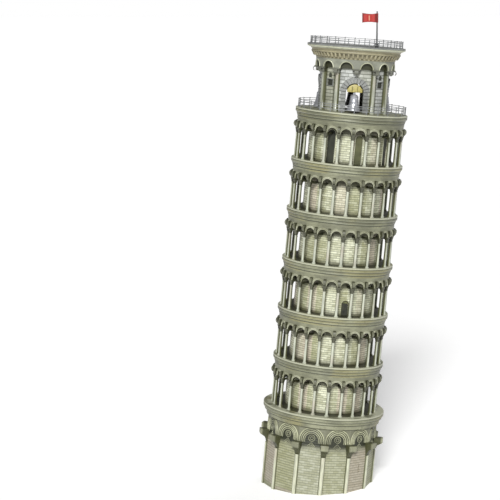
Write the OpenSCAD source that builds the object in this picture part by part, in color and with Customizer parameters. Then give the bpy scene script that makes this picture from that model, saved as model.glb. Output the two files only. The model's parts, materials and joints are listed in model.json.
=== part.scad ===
// Leaning round bell tower, a printed-card souvenir on a core of stacked board.
// Eight storeys: a base with blind arches, six open galleries and a belfry.
// Millimetres, +Z up. The origin is on the ground, at the centre of the base.
// The front faces -Y and the tower leans towards +X. Angles round the tower
// start at the front and grow towards +X.

/* [Tower] */
// Lean of the tower from plumb, in degrees, towards +X
tower_lean = 5; // [0:0.5:6]
// How much more upright the belfry stands than the storeys below it, in degrees
belfry_righting = 1.1; // [0:0.1:1.5]
// Height of the base storey, from the ground to its deck, along the axis
base_h = 67; // [60:1:81]
// Height of one gallery storey, from deck to deck
gallery_h = 42; // [37:0.5:51]
// Height of the belfry, from the terrace to the top of its roof
belfry_h = 54.3; // [50:0.1:66]
// Thickness of the printed card that wraps the core
card_t = 1.2; // [0.8:0.1:1.6]

/* [Base storey] */
// Radius of the folded base wall, at its corners
base_wall_r = 46.6; // [42:0.2:50]
// Number of bays, which is the number of half columns
base_bays = 13; // [12:1:15]
// Angle of the first half column from the front, in degrees
base_turn = 1.9; // [0:0.1:12]
// Radius of a half column
base_column_r = 2.1; // [1.6:0.1:2.6]
// Height at which a base capital begins
base_capital_z = 32.3; // [28:0.1:35]
// Height of a base capital, with the taper below its block
base_capital_h = 11.5; // [9:0.1:13]
// How far a base capital stands out from the wall
base_capital_out = 7; // [4:0.5:8]
// Width of the block of a base capital
base_block_w = 6.6; // [5:0.1:7.4]
// Height of the block of a base capital
base_block_h = 4.4; // [3:0.1:6]
// How far the arch rolls stand out from the wall
base_arch_out = 1.6; // [1:0.1:2.4]
// Width of a slit window in the base
slit_w = 1.3; // [0.8:0.1:2.5]
// Height of a slit window
slit_h = 7; // [4:0.5:9]
// Height of the sill of a slit window
slit_z = 18.5; // [8:0.5:20]
// Radius of the base cornice
base_cornice_r = 51.5; // [50.5:0.5:56]
// Height of the base cornice
base_cornice_h = 10; // [8:0.5:10.5]
// Thickness of the foot plate
foot_plate_t = 2; // [1.5:0.5:4]

/* [Galleries] */
// Outer radius of the wall behind the columns
gallery_wall_r = 33.6; // [29:0.2:36]
// Number of columns round a gallery, an even number
gallery_bays = 24; // [20:2:26]
// Angle of the first column from the front, in degrees
gallery_turn = 1.3; // [0:0.1:7]
// Radius of the ring on which the columns stand
column_ring_r = 43.6; // [42.5:0.1:44.4]
// Radius of a column shaft
column_r = 1.25; // [0.9:0.05:1.5]
// Height of a column, from the deck to its capital
column_h = 20.4; // [17:0.1:22.5]
// Height of a gallery capital
capital_h = 4.6; // [3.6:0.1:5.2]
// Thickness of the arcade ring, in and out
arcade_t = 2; // [1.6:0.1:2.6]
// Radius of an arch opening
arch_r = 4.3; // [3.4:0.1:4.4]
// Radius of the curled springer between two arches
curl_r = 2.8; // [2:0.1:3]
// Width of a curled springer
curl_w = 2.4; // [1.4:0.1:2.6]
// Radius of a gallery cornice
cornice_r = 46.9; // [46.5:0.1:50]
// Height of a gallery cornice
cornice_h = 8.4; // [7:0.1:9]
// Width of the door in the third gallery
door_w = 5.4; // [4:0.1:6.5]
// Height of the door in the third gallery
door_h = 12; // [9:0.5:20]
// Width of the tall doors in the top gallery
tall_door_w = 7; // [5:0.1:8]
// Height of the tall doors
tall_door_h = 27; // [18:0.5:31]
// Width of the niche in the top gallery
niche_w = 6; // [4:0.1:8]
// Height of the niche
niche_h = 24; // [16:0.5:30]

/* [Belfry] */
// Outer radius of the belfry wall
belfry_wall_r = 29; // [27.5:0.1:30]
// Thickness of the belfry wall
belfry_wall_t = 4.5; // [3.8:0.1:5]
// Radius of a belfry half column
belfry_column_r = 2.3; // [1.6:0.1:2.6]
// Height of a belfry half column
belfry_column_h = 31.7; // [30:0.1:33]
// Height of a belfry capital
belfry_capital_h = 4.1; // [3:0.1:5]
// Height of the arcade band
belfry_arcade_h = 7.3; // [7:0.1:8]
// Radius of the arcade band, at its corners
belfry_arcade_r = 33.2; // [32.4:0.1:34.4]
// Radius of a blind arch of the belfry
belfry_arch_r = 5.3; // [4.4:0.1:6.4]
// How deep a blind arch of the belfry is cut
belfry_recess = 2.5; // [1.5:0.1:2.7]
// Number of corbels under the belfry cornice
dentil_count = 60; // [40:4:68]
// Width of a corbel
dentil_w = 1.5; // [1:0.1:2]
// Radius of the roof slab
roof_r = 41; // [40:0.1:45]
// Thickness of the roof slab
roof_t = 3.1; // [2:0.1:4]
// Half width of a bell opening
opening_r = 7.1; // [6.8:0.1:7.6]
// Height at which the arch of a bell opening springs
opening_spring_z = 17; // [16:0.1:18.5]
// Width of the stones round a bell opening
surround_w = 4.9; // [3.8:0.1:5.2]
// How far the stones round a bell opening stand out
surround_out = 1; // [0.6:0.1:1.4]
// Width of a small window
window_w = 6.4; // [4:0.1:7.6]
// Height of a small window
window_h = 5; // [3.5:0.1:6]
// Height of the sill of a small window
window_z = 21; // [16:0.5:23]

/* [Bells] */
// Height of the bell pins above the terrace
pin_z = 19.2; // [18.5:0.1:19.6]
// Radius of a bell pin
pin_r = 0.6; // [0.5:0.05:0.8]
// Radial play of a pin in its hole
pin_play = 0.06; // [0.03:0.01:0.09]
// Radius of a bell at its mouth
bell_r = 5.8; // [5:0.1:6]
// Gap from the terrace to the mouth of a bell
bell_gap = 2; // [1.8:0.1:3]
// Thickness of a headstock, in and out
headstock_t = 3.2; // [2.4:0.1:4]

/* [Railings] */
// Radius of a railing post
post_r = 0.5; // [0.35:0.05:0.6]
// Radius of a rail
rail_r = 0.32; // [0.25:0.01:0.4]
// Height of the terrace railing
terrace_rail_h = 7.1; // [5:0.1:9]
// Height of the roof railing
roof_rail_h = 5.9; // [4.5:0.1:8]
// Number of posts round each railing
post_count = 28; // [20:2:36]

/* [Flag] */
// Length of the flagpole
pole_h = 29.6; // [24:0.1:40]
// Radius of the flagpole
pole_r = 0.65; // [0.5:0.05:0.8]
// Length of the flag, from the pole to its free edge
flag_w = 11.3; // [8:0.1:15]
// Height of the flag
flag_h = 7.4; // [5:0.1:9]
// Thickness of the flag card
flag_t = 0.5; // [0.3:0.1:0.8]
// Depth of the wave in the flag
flag_wave = 0.7; // [0.3:0.1:1.2]
// Height of the socket in which the pole stands
socket_h = 3.4; // [2.6:0.1:5]
// Outer radius of the socket
socket_r = 1.4; // [1.2:0.1:2]
// Radial play of the pole in its socket
pole_play = 0.05; // [0.03:0.01:0.08]

/* [Hidden] */
$fn = 72;
GALLERIES = 6;
GALLERY_PARTS = ["wall", "columns", "capitals", "arcade", "cornice"];
SIDES = ["front", "right", "back", "left"];

BOARD = "#dcd8c8";
STONE = "#c9c7ac";
PALE = "#d6d4be";
OLIVE = "#a9a886";
SHADE = "#8f8f70";
TAN = "#bfb088";
GREY = "#8d9088";
YOKE = "#b8a24c";
BELL = "#a9abb0";
WIRE = "#5b605c";
RED = "#c8372d";

// Radii of the core inside the base, at its corners, and inside the galleries
base_core_r = base_wall_r - card_t / cos(180 / base_bays);
gallery_core_r = gallery_wall_r - card_t;
// Distance from the axis to the middle of a flat bay of the base
base_flat_r = base_wall_r * cos(180 / base_bays);
// How deep the leaning pieces of the base reach before the ground trims them
sunk = base_wall_r * sin(tower_lean) + 1;
// How far the axis of a half column lies inside the face that it stands on
base_column_sink = 0.9;
belfry_column_sink = -0.4;
// Height where the base cornice sits on the shoulder of the core
shoulder_z = base_h - base_cornice_h;
terrace_z = base_h + GALLERIES * gallery_h;
base_pitch = 360 / base_bays;
gallery_pitch = 360 / gallery_bays;
// Arches fill the bays of the base and stand on its capitals
base_arch_z = base_capital_z + base_capital_h;
base_arch_r = base_wall_r * sin(base_pitch / 2) - 0.1;
// The gallery arcade springs from the capitals and carries the cornice
spring_z = column_h + capital_h;
arcade_h = gallery_h - cornice_h - spring_z;
arcade_r = column_ring_r + arcade_t / 2;
// Heights in the belfry, above the terrace
belfry_lean = tower_lean - belfry_righting;
belfry_inner_r = belfry_wall_r - belfry_wall_t;
belfry_spring_z = belfry_column_h + belfry_capital_h;
belfry_cornice_z = belfry_spring_z + belfry_arcade_h;
roof_z = belfry_h - roof_t;
chamber_h = opening_spring_z + opening_r + 6;
cove_h = 3.2;
bell_ring_r = belfry_wall_r - belfry_wall_t / 2;
// Places of the slit windows, in bays from the first half column
SLIT_BAYS = [1.6, 8.4];
BELFRY_BAYS = 12;
BELFRY_COLUMN_ANGLES = [30, 60, 120, 150, 210, 240, 300, 330];
// Play left between a headstock and the jambs of its opening
headstock_play = 0.8;
// The rails of a railing, as shares of its height
RAIL_SHARES = [0.35, 0.66, 0.95];
// Foot of the pole in the belfry's frame: right of the front, inside the railing
POLE_PLACE = [15, -32.6];
// Gap from the roof to the end of the pole, inside the socket
pole_gap = 0.6;
// Drop from the top of the pole to the flag
flag_drop = 1.8;
// Long enough to cut right through the tower, or everything below a plane
FAR = 200;

// A point of a frame that leans by an angle, in the upright frame
function leaning(angle, p) = [
    p.x * cos(angle) + p.z * sin(angle),
    p.y,
    p.z * cos(angle) - p.x * sin(angle)
];

// Foot of the pole, in the upright frame
pole_foot = leaning(tower_lean, [0, 0, terrace_z])
    + leaning(belfry_lean, [POLE_PLACE.x, POLE_PLACE.y, belfry_h]);

// The doorways cut in the wall of gallery k: [angle, width, height]
function doorways(k) =
    k == 3 ? [[14.5, door_w, door_h]] :
    k == 6 ? [[-28, tall_door_w, tall_door_h], [12, niche_w, niche_h], [62, tall_door_w, tall_door_h]] :
    [];

module on_tower(z = 0) {
    rotate([0, tower_lean, 0])
        translate([0, 0, z])
            children();
}

module on_belfry(z = 0) {
    on_tower(terrace_z)
        rotate([0, -belfry_righting, 0])
            translate([0, 0, z])
                children();
}

// Copies of a piece drawn at the front, turned round the axis
module ring_of(count, turn = 0) {
    for (i = [0:count - 1])
        rotate([0, 0, turn + i * 360 / count])
            children();
}

// A prism with a corner at the given angle from the front
module prism(sides, r, h, turn = 0) {
    linear_extrude(height = h)
        polygon([for (i = [0:sides - 1])
            let (a = turn + i * 360 / sides) [r * sin(a), -r * cos(a)]]);
}

module tube(r_out, r_in, h) {
    difference() {
        cylinder(r = r_out, h = h);
        translate([0, 0, -1])
            cylinder(r = r_in, h = h + 2);
    }
}

// Everything below a level plane, to trim what stands on it
module below(z = 0) {
    translate([-FAR, -FAR, z - FAR])
        cube([2 * FAR, 2 * FAR, FAR]);
}

// A block at the front, from radius r_in to r_out, centred on the bay
module front_block(w, r_in, r_out, h) {
    translate([-w / 2, -r_out, 0])
        cube([w, r_out - r_in, h]);
}

// A flat outline of radius and height, drawn out sideways at the front
module front_profile(w, points) {
    translate([-w / 2, 0, 0])
        rotate([90, 0, 90])
            linear_extrude(height = w)
                polygon([for (p = points) [-p[0], p[1]]]);
}

// A solid arch at the front, from radius r_in to r_out: a half disc that
// springs at z = 0, on straight legs
module arch_block(r, legs, r_in, r_out) {
    translate([0, -r_in, 0])
        rotate([90, 0, 0])
            linear_extrude(height = r_out - r_in)
                union() {
                    intersection() {
                        circle(r = r);
                        translate([-r, 0])
                            square([2 * r, r]);
                    }
                    translate([-r, -legs])
                        square([2 * r, legs]);
                }
}

// A round bar that points forwards, from radius r_in to r_out
module front_bar(r, r_in, r_out) {
    translate([0, -r_in, 0])
        rotate([90, 0, 0])
            cylinder(r = r, h = r_out - r_in);
}

// ---- Base storey ----

module foot_plate() {
    color(SHADE)
        prism(base_bays, base_core_r - 0.4, foot_plate_t, base_turn);
}

// The board inside the base, wide enough to back its wall
module base_core() {
    color(BOARD)
        difference() {
            on_tower(-sunk)
                prism(base_bays, base_core_r, shoulder_z + sunk, base_turn);
            below(foot_plate_t);
        }
}

// The board inside the galleries, from the shoulder of the base to the terrace
module gallery_core() {
    color(BOARD)
        on_tower(shoulder_z)
            cylinder(r = gallery_core_r, h = terrace_z - cornice_h - shoulder_z);
}

module base_wall() {
    color(STONE)
        difference() {
            on_tower(-sunk)
                prism(base_bays, base_wall_r, shoulder_z + sunk, base_turn);
            on_tower(-sunk - 1)
                prism(base_bays, base_core_r, shoulder_z + sunk + 2, base_turn);
            below();
            on_tower(slit_z)
                for (bay = SLIT_BAYS)
                    rotate([0, 0, base_turn + bay * base_pitch])
                        front_block(slit_w, base_flat_r - 3, base_wall_r + 3, slit_h);
        }
}

module base_columns() {
    color(PALE)
        difference() {
            on_tower(-sunk)
                ring_of(base_bays, base_turn)
                    translate([0, base_column_sink - base_wall_r, 0])
                        cylinder(r = base_column_r, h = base_capital_z + sunk);
            on_tower(-FAR / 4)
                prism(base_bays, base_wall_r, FAR, base_turn);
            below();
        }
}

module base_capitals() {
    taper_h = base_capital_h - base_block_h;
    r_block = base_wall_r + base_capital_out;
    r_foot = base_wall_r + base_column_r - base_column_sink;
    color(OLIVE)
        on_tower(base_capital_z)
            difference() {
                ring_of(base_bays, base_turn)
                    union() {
                        translate([0, 0, taper_h])
                            front_block(base_block_w, base_flat_r - 1, r_block, base_block_h);
                        front_profile(base_block_w - 1.6, [
                            [base_flat_r - 1, 0],
                            [r_foot, 0],
                            [r_foot + 1, taper_h * 0.5],
                            [r_block - 1.6, taper_h],
                            [base_flat_r - 1, taper_h]
                        ]);
                    }
                translate([0, 0, -1])
                    prism(base_bays, base_wall_r, base_capital_h + 2, base_turn);
            }
}

// One arched roll on a flat bay of the base
module arch_roll(r, w, legs) {
    r_in = base_flat_r;
    r_out = base_flat_r + base_arch_out;
    difference() {
        arch_block(r, legs, r_in, r_out);
        arch_block(r - w, 2 * legs + 1, r_in - 1, r_out + 1);
    }
}

// Two rolls round each blind arch
module base_arches() {
    legs = shoulder_z - base_arch_z - base_arch_r;
    r_mid = base_arch_r - 2.8;
    color(PALE)
        on_tower(base_arch_z + legs)
            ring_of(base_bays, base_turn + base_pitch / 2)
                union() {
                    arch_roll(base_arch_r, 1.5, legs);
                    arch_roll(r_mid, 1.1, legs);
                }
}

module base_cornice() {
    r = base_cornice_r;
    h = base_cornice_h;
    color(OLIVE)
        on_tower(shoulder_z)
            rotate_extrude()
                polygon([
                    [gallery_core_r, 0],
                    [r - 3.4, 0],
                    [r - 3.4, h - 8],
                    [r - 2.6, h - 8],
                    [r - 2.6, h - 6.2],
                    [r - 1.8, h - 5.2],
                    [r - 1.8, h - 3.8],
                    [r - 0.6, h - 3.4],
                    [r, h - 3],
                    [r, h - 0.6],
                    [r - 0.6, h],
                    [gallery_core_r, h]
                ]);
}

// ---- Galleries, k = 1 for the lowest ----

module on_gallery(k, z = 0) {
    on_tower(base_h + (k - 1) * gallery_h + z)
        children();
}

module gallery_wall(k) {
    h = gallery_h - cornice_h;
    color(STONE)
        on_gallery(k)
            difference() {
                tube(gallery_wall_r, gallery_core_r, h);
                for (door = doorways(k))
                    rotate([0, 0, door[0]])
                        translate([0, 0, door[2] - door[1] / 2])
                            arch_block(door[1] / 2, gallery_h, gallery_wall_r - 3, gallery_wall_r + 3);
            }
}

module gallery_columns(k) {
    foot_r = column_r + 0.65;
    color(PALE)
        on_gallery(k)
            ring_of(gallery_bays, gallery_turn)
                translate([0, -column_ring_r, 0])
                    rotate_extrude()
                        polygon([
                            [0, 0],
                            [foot_r, 0],
                            [foot_r, 0.5],
                            [foot_r - 0.3, 0.9],
                            [column_r, 1.3],
                            [column_r, column_h],
                            [0, column_h]
                        ]);
}

// A folded ring with a corner over each column
module arcade_prism(r, h) {
    prism(gallery_bays, r, h, gallery_turn);
}

// Each capital carries a lintel back to the wall
module gallery_capitals(k) {
    abacus_h = 1.8;
    abacus_w = 2 * column_r + 1.1;
    color(OLIVE)
        on_gallery(k, column_h)
            ring_of(gallery_bays, gallery_turn)
                union() {
                    translate([0, -column_ring_r, 0])
                        cylinder(r1 = column_r + 0.1, r2 = column_r + 0.5, h = capital_h - abacus_h);
                    translate([0, 0, capital_h - abacus_h])
                        front_block(abacus_w, arcade_r - arcade_t, arcade_r + 1, abacus_h);
                    translate([0, 0, capital_h - abacus_h])
                        front_block(abacus_w - 1.6, gallery_wall_r, column_ring_r, abacus_h);
                }
}

// A folded ring of arches, with a curled springer on each corner
module gallery_arcade(k) {
    curl_t = 0.9;
    color(STONE)
        on_gallery(k, spring_z)
            union() {
                difference() {
                    arcade_prism(arcade_r, arcade_h);
                    translate([0, 0, -1])
                        arcade_prism(arcade_r - arcade_t, arcade_h + 2);
                    ring_of(gallery_bays, gallery_turn + gallery_pitch / 2)
                        front_bar(arch_r, arcade_r - arcade_t - 2, arcade_r + 1);
                }
                difference() {
                    ring_of(gallery_bays, gallery_turn)
                        translate([-curl_w / 2, -arcade_r, curl_r + 0.2])
                            rotate([0, 90, 0])
                                tube(curl_r, curl_r - curl_t, curl_w);
                    translate([0, 0, -1])
                        arcade_prism(arcade_r - 0.4, arcade_h + 2);
                }
            }
}

// The cornice carries the deck of the next storey, and the top one is whole
module gallery_cornice(k) {
    r = cornice_r;
    h = cornice_h;
    r_in = k == GALLERIES ? 0 : gallery_core_r;
    color(OLIVE)
        on_gallery(k, gallery_h - h)
            rotate_extrude()
                polygon([
                    [r_in, 0],
                    [r - 1.9, 0],
                    [r - 1.9, h - 5.8],
                    [r - 1.4, h - 5.4],
                    [r - 1.4, h - 4.4],
                    [r - 0.7, h - 4],
                    [r, h - 3.2],
                    [r, h - 0.6],
                    [r - 0.5, h],
                    [r_in, h]
                ]);
}

// ---- Railings ----

module railing(r, h) {
    union() {
        ring_of(post_count)
            translate([0, -r, 0])
                cylinder(r = post_r, h = h);
        for (share = RAIL_SHARES)
            translate([0, 0, h * share])
                rotate_extrude()
                    translate([r, 0])
                        circle(r = rail_r, $fn = 16);
    }
}

module terrace_railing() {
    color(GREY)
        on_tower(terrace_z)
            railing(cornice_r - 2.1, terrace_rail_h);
}

module roof_railing() {
    color(GREY)
        on_belfry(belfry_h)
            railing(roof_r - 2.7, roof_rail_h);
}

// ---- Belfry ----

// Trims what stands on the terrace to the deck, which leans a little more
module on_deck() {
    difference() {
        on_belfry()
            children();
        on_tower(terrace_z)
            below();
    }
}

// The board that closes the bell chamber and carries the roof
module belfry_core() {
    color(BOARD)
        on_belfry(chamber_h)
            cylinder(r = belfry_inner_r, h = belfry_cornice_z - chamber_h);
}

// A drum with four bell openings and four small windows
module belfry_wall() {
    color(STONE)
        on_deck()
            difference() {
                translate([0, 0, -2])
                    cylinder(r = belfry_wall_r, h = belfry_cornice_z + 2);
                translate([0, 0, -3])
                    cylinder(r = belfry_inner_r, h = belfry_cornice_z + 4);
                ring_of(4)
                    translate([0, 0, opening_spring_z])
                        arch_block(opening_r, 2 * opening_spring_z, belfry_inner_r / 2, belfry_wall_r + 2);
                ring_of(4, 45)
                    translate([0, 0, window_z])
                        front_block(window_w, belfry_inner_r / 2, belfry_wall_r + 2, window_h);
                ring_of(4)
                    translate([-opening_r - 1.5, -bell_ring_r, pin_z])
                        rotate([0, 90, 0])
                            cylinder(r = pin_r + pin_play, h = 2 * opening_r + 3);
            }
}

module bell_surrounds() {
    outer = opening_r + surround_w;
    color(GREY)
        on_deck()
            intersection() {
                translate([0, 0, opening_spring_z])
                    ring_of(4)
                        difference() {
                            arch_block(outer, 2 * opening_spring_z, belfry_inner_r, belfry_wall_r + 3);
                            arch_block(opening_r, 3 * opening_spring_z, belfry_inner_r - 1, belfry_wall_r + 4);
                        }
                translate([0, 0, -2])
                    tube(belfry_wall_r + surround_out, belfry_wall_r, belfry_column_h + 2);
            }
}

module belfry_columns() {
    color(PALE)
        on_deck()
            difference() {
                for (angle = BELFRY_COLUMN_ANGLES)
                    rotate([0, 0, angle])
                        translate([0, belfry_column_sink - belfry_wall_r, -2])
                            cylinder(r = belfry_column_r, h = belfry_column_h + 2);
                translate([0, 0, -3])
                    cylinder(r = belfry_wall_r, h = belfry_column_h + 4, $fn = 240);
            }
}

// Capitals over the half columns, and the same block as a corbel between them
module belfry_capitals() {
    w = 2 * belfry_column_r + 1.4;
    r_top = belfry_arcade_r + 1.8;
    r_foot = belfry_wall_r + 1.6;
    color(OLIVE)
        on_belfry(belfry_column_h)
            difference() {
                ring_of(BELFRY_BAYS)
                    front_profile(w, [
                        [belfry_wall_r - 2, 0],
                        [r_foot, 0],
                        [r_top, belfry_capital_h * 0.5],
                        [r_top, belfry_capital_h],
                        [belfry_wall_r - 2, belfry_capital_h]
                    ]);
                translate([0, 0, -1])
                    cylinder(r = belfry_wall_r, h = belfry_capital_h + 2, $fn = 240);
            }
}

// A thick folded band with twelve blind arches, one on each flat
module belfry_arcade() {
    half_bay = 180 / BELFRY_BAYS;
    flat_r = belfry_arcade_r * cos(half_bay);
    color(STONE)
        on_belfry(belfry_spring_z)
            difference() {
                prism(BELFRY_BAYS, belfry_arcade_r, belfry_arcade_h);
                translate([0, 0, -1])
                    cylinder(r = belfry_wall_r, h = belfry_arcade_h + 2);
                ring_of(BELFRY_BAYS, half_bay)
                    front_bar(belfry_arch_r, flat_r - belfry_recess, belfry_arcade_r + 1);
            }
}

// Outline of the cornice that carries the roof
module belfry_cornice_solid() {
    h = roof_z - belfry_cornice_z;
    r_cove = roof_r - 3.6;
    rotate_extrude($fn = 240)
        polygon([
            [0, 0],
            [belfry_arcade_r, 0],
            [belfry_arcade_r, 0.9],
            [r_cove - 1.6, h - cove_h],
            [r_cove, h - cove_h],
            [r_cove - 0.4, h - cove_h + 0.8],
            [r_cove - 0.2, h - 1],
            [r_cove + 0.4, h],
            [0, h]
        ]);
}

module belfry_cornice() {
    color(TAN)
        on_belfry(belfry_cornice_z)
            belfry_cornice_solid();
}

module belfry_dentils() {
    foot_h = 0.9;
    tooth_h = roof_z - belfry_cornice_z - cove_h;
    r_top = roof_r - 3.8;
    color(TAN)
        on_belfry(belfry_cornice_z)
            difference() {
                ring_of(dentil_count)
                    front_profile(dentil_w, [
                        [belfry_arcade_r - 2, foot_h],
                        [belfry_arcade_r + 0.9, foot_h],
                        [belfry_arcade_r + 1.5, foot_h + 1],
                        [r_top, tooth_h - 0.8],
                        [r_top, tooth_h],
                        [belfry_arcade_r - 2, tooth_h]
                    ]);
                belfry_cornice_solid();
            }
}

module roof_slab() {
    r = roof_r;
    color(GREY)
        on_belfry(roof_z)
            rotate_extrude()
                polygon([
                    [0, 0],
                    [r - 1.6, 0],
                    [r - 0.8, 0.7],
                    [r, 0.9],
                    [r, roof_t - 0.4],
                    [r - 0.4, roof_t],
                    [0, roof_t]
                ]);
}

// ---- Bells, one in each opening ----

module on_opening(i) {
    on_belfry()
        rotate([0, 0, i * 90])
            translate([0, -bell_ring_r, 0])
                children();
}

// A half-round yoke that fills the head of the opening, with a pin each side
module headstock(i) {
    r = opening_r - headstock_play;
    pin_reach = opening_r + 1.2;
    color(YOKE)
        on_opening(i)
            union() {
                translate([0, 0, opening_spring_z])
                    arch_block(r, 0.2, -headstock_t / 2, headstock_t / 2);
                translate([-pin_reach, 0, pin_z])
                    rotate([0, 90, 0])
                        cylinder(r = pin_r, h = 2 * pin_reach);
            }
}

module bell(i) {
    h = opening_spring_z - 0.2 - bell_gap;
    crown_h = 1.8;
    crown_r = 1.1;
    body_h = h - crown_h;
    color(BELL)
        on_opening(i)
            translate([0, 0, bell_gap])
                rotate_extrude()
                    polygon([
                        [0, 0],
                        [bell_r, 0],
                        [bell_r, 0.5],
                        [bell_r * 0.86, body_h * 0.16],
                        [bell_r * 0.71, body_h * 0.36],
                        [bell_r * 0.63, body_h * 0.58],
                        [bell_r * 0.58, body_h * 0.8],
                        [bell_r * 0.46, body_h * 0.93],
                        [crown_r, body_h],
                        [crown_r, h],
                        [0, h]
                    ]);
}

// ---- Flag ----

module flag_socket() {
    color(GREY)
        difference() {
            translate(pole_foot - [0, 0, 1])
                cylinder(r = socket_r, h = socket_h + 1);
            translate(pole_foot + [0, 0, pole_gap - 0.1])
                cylinder(r = pole_r + pole_play, h = socket_h + 1);
            on_belfry(belfry_h)
                below();
        }
}

module flagpole() {
    color(WIRE)
        translate(pole_foot + [0, 0, pole_gap])
            union() {
                cylinder(r = pole_r, h = pole_h - pole_gap - 1);
                translate([0, 0, pole_h - pole_gap - 1])
                    cylinder(r1 = pole_r, r2 = pole_r * 0.7, h = 1);
            }
}

// A stiff printed flag with a gentle wave, on a sleeve round the pole
module flag() {
    steps = 12;
    sleeve_r = pole_r + 0.35;
    run = [for (i = [0:steps]) i / steps];
    near = [for (u = run) [-pole_r - 0.1 - u * flag_w, flag_wave * sin(u * 360) - flag_t / 2]];
    far = [for (u = run) [-pole_r - 0.1 - (1 - u) * flag_w, flag_wave * sin((1 - u) * 360) + flag_t / 2]];
    color(RED)
        translate(pole_foot + [0, 0, pole_h - flag_drop - flag_h])
            difference() {
                union() {
                    cylinder(r = sleeve_r, h = flag_h);
                    linear_extrude(height = flag_h)
                        polygon(concat(near, far));
                }
                translate([0, 0, -1])
                    cylinder(r = pole_r, h = flag_h + 2);
            }
}

foot_plate();
base_core();
gallery_core();
base_wall();
base_columns();
base_capitals();
base_arches();
base_cornice();
for (k = [1:GALLERIES]) {
    gallery_wall(k);
    gallery_columns(k);
    gallery_capitals(k);
    gallery_arcade(k);
    gallery_cornice(k);
}
terrace_railing();
belfry_core();
belfry_wall();
bell_surrounds();
belfry_columns();
belfry_capitals();
belfry_arcade();
belfry_cornice();
belfry_dentils();
roof_slab();
roof_railing();
for (i = [0:3]) {
    headstock(i);
    bell(i);
}
flag_socket();
flagpole();
flag();
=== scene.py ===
import json
import math

import bpy
from mathutils import Matrix, Vector


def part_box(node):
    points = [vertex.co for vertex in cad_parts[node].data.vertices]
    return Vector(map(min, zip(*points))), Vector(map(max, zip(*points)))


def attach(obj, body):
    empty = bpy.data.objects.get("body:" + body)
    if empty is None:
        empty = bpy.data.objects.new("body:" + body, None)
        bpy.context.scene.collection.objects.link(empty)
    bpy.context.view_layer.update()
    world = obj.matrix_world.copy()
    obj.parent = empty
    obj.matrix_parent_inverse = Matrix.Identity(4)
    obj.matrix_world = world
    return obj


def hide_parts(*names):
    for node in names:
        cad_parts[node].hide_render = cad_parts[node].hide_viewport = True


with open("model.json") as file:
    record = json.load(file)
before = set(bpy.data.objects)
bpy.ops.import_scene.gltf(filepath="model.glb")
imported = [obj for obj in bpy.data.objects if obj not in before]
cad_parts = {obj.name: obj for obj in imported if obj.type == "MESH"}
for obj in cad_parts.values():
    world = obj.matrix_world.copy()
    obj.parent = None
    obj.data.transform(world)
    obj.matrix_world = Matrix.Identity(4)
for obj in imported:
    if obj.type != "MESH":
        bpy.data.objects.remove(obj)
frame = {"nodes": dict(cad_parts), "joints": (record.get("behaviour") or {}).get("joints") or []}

bl_info = {
    "name": "Leaning bell tower model",
    "version": (1, 0, 0),
    "blender": (4, 5, 0),
    "location": "View3D > Sidebar > Bell Tower",
    "description": "Dresses a card model of a leaning bell tower: arcades, cornices, bells and flag",
    "category": "Add Mesh",
}

MM = 0.001
TOWER = "tower"
GALLERIES = range(1, 7)
SIDES = ["front", "right", "back", "left"]

# Points closer than this are welded
WELD = 0.000001
# Edges sharper than this are softened
SHARP = math.radians(30)
# Steps round a drum
FINE = 120
# Turns of a round bar or roll: to point forwards, and to point sideways
FORWARDS = (math.pi / 2, 0, 0)
SIDEWAYS = (0, math.pi / 2, 0)


# ---------------------------------------------------------------- the frame


def extents(node, place):
    """Lowest and highest corner of a CAD node, measured in a leaning frame."""
    back = place.inverted()
    points = [back @ v.co for v in frame["nodes"][node].data.vertices]
    return [Vector([end(p[i] for p in points) for i in range(3)]) for end in (min, max)]


def leaning(angle):
    """A frame that leans by an angle towards +X."""
    return Matrix.Rotation(angle, 4, "Y")


def turned(angle):
    """A frame turned by an angle about the upright axis."""
    return Matrix.Rotation(angle, 4, "Z")


def lifted(z):
    return Matrix.Translation((0, 0, z))


# One gallery is one step up the leaning axis
step_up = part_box("gallery_2_wall")[0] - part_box("gallery_1_wall")[0]
TOWER_LEAN = math.atan2(step_up.x, step_up.z)
ON_TOWER = leaning(TOWER_LEAN)
swing_axis = Vector(frame["joints"][0]["axis"])
BELFRY_LEAN = math.atan2(-swing_axis.z, swing_axis.x)

GALLERY_H = step_up.length
DECK_1 = extents("gallery_1_wall", ON_TOWER)[0].z
TERRACE_Z = DECK_1 + len(GALLERIES) * GALLERY_H
ON_BELFRY = ON_TOWER @ lifted(TERRACE_Z) @ leaning(BELFRY_LEAN - TOWER_LEAN)


def on_gallery(k):
    """The frame of gallery k, at the height of its deck."""
    return ON_TOWER @ lifted(DECK_1 + (k - 1) * GALLERY_H)


def radius(node):
    """Outer radius of a round CAD node."""
    low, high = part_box(node)
    return (high.y - low.y) / 2


WALL_R = radius("gallery_1_wall")
CORNICE_R = radius("gallery_1_cornice") - 0.03 * MM
CORNICE_LOW = extents("gallery_1_wall", on_gallery(1))[1].z
COLUMN_H = extents("gallery_1_columns", on_gallery(1))[1].z
SPRING_Z = extents("gallery_1_capitals", on_gallery(1))[1].z
BASE_CORNICE_R = radius("base_cornice")
BASE_WALL_R = 46 * MM
SHOULDER_Z = extents("base_cornice", ON_TOWER)[0].z
BASE_CAPITAL_LOW, BASE_CAPITAL_HIGH = extents("base_capitals", ON_TOWER)
BELFRY_WALL_R = extents("belfry_wall", ON_BELFRY)[1].y
BELFRY_COLUMN_H, BELFRY_SPRING_Z = [corner.z for corner in extents("belfry_capitals", ON_BELFRY)]
BELFRY_CORNICE_Z = extents("belfry_cornice", ON_BELFRY)[0].z
ROOF_LOW, ROOF_HIGH = extents("roof_slab", ON_BELFRY)
SURROUND_R = extents("bell_surrounds", ON_BELFRY)[1].y

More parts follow.
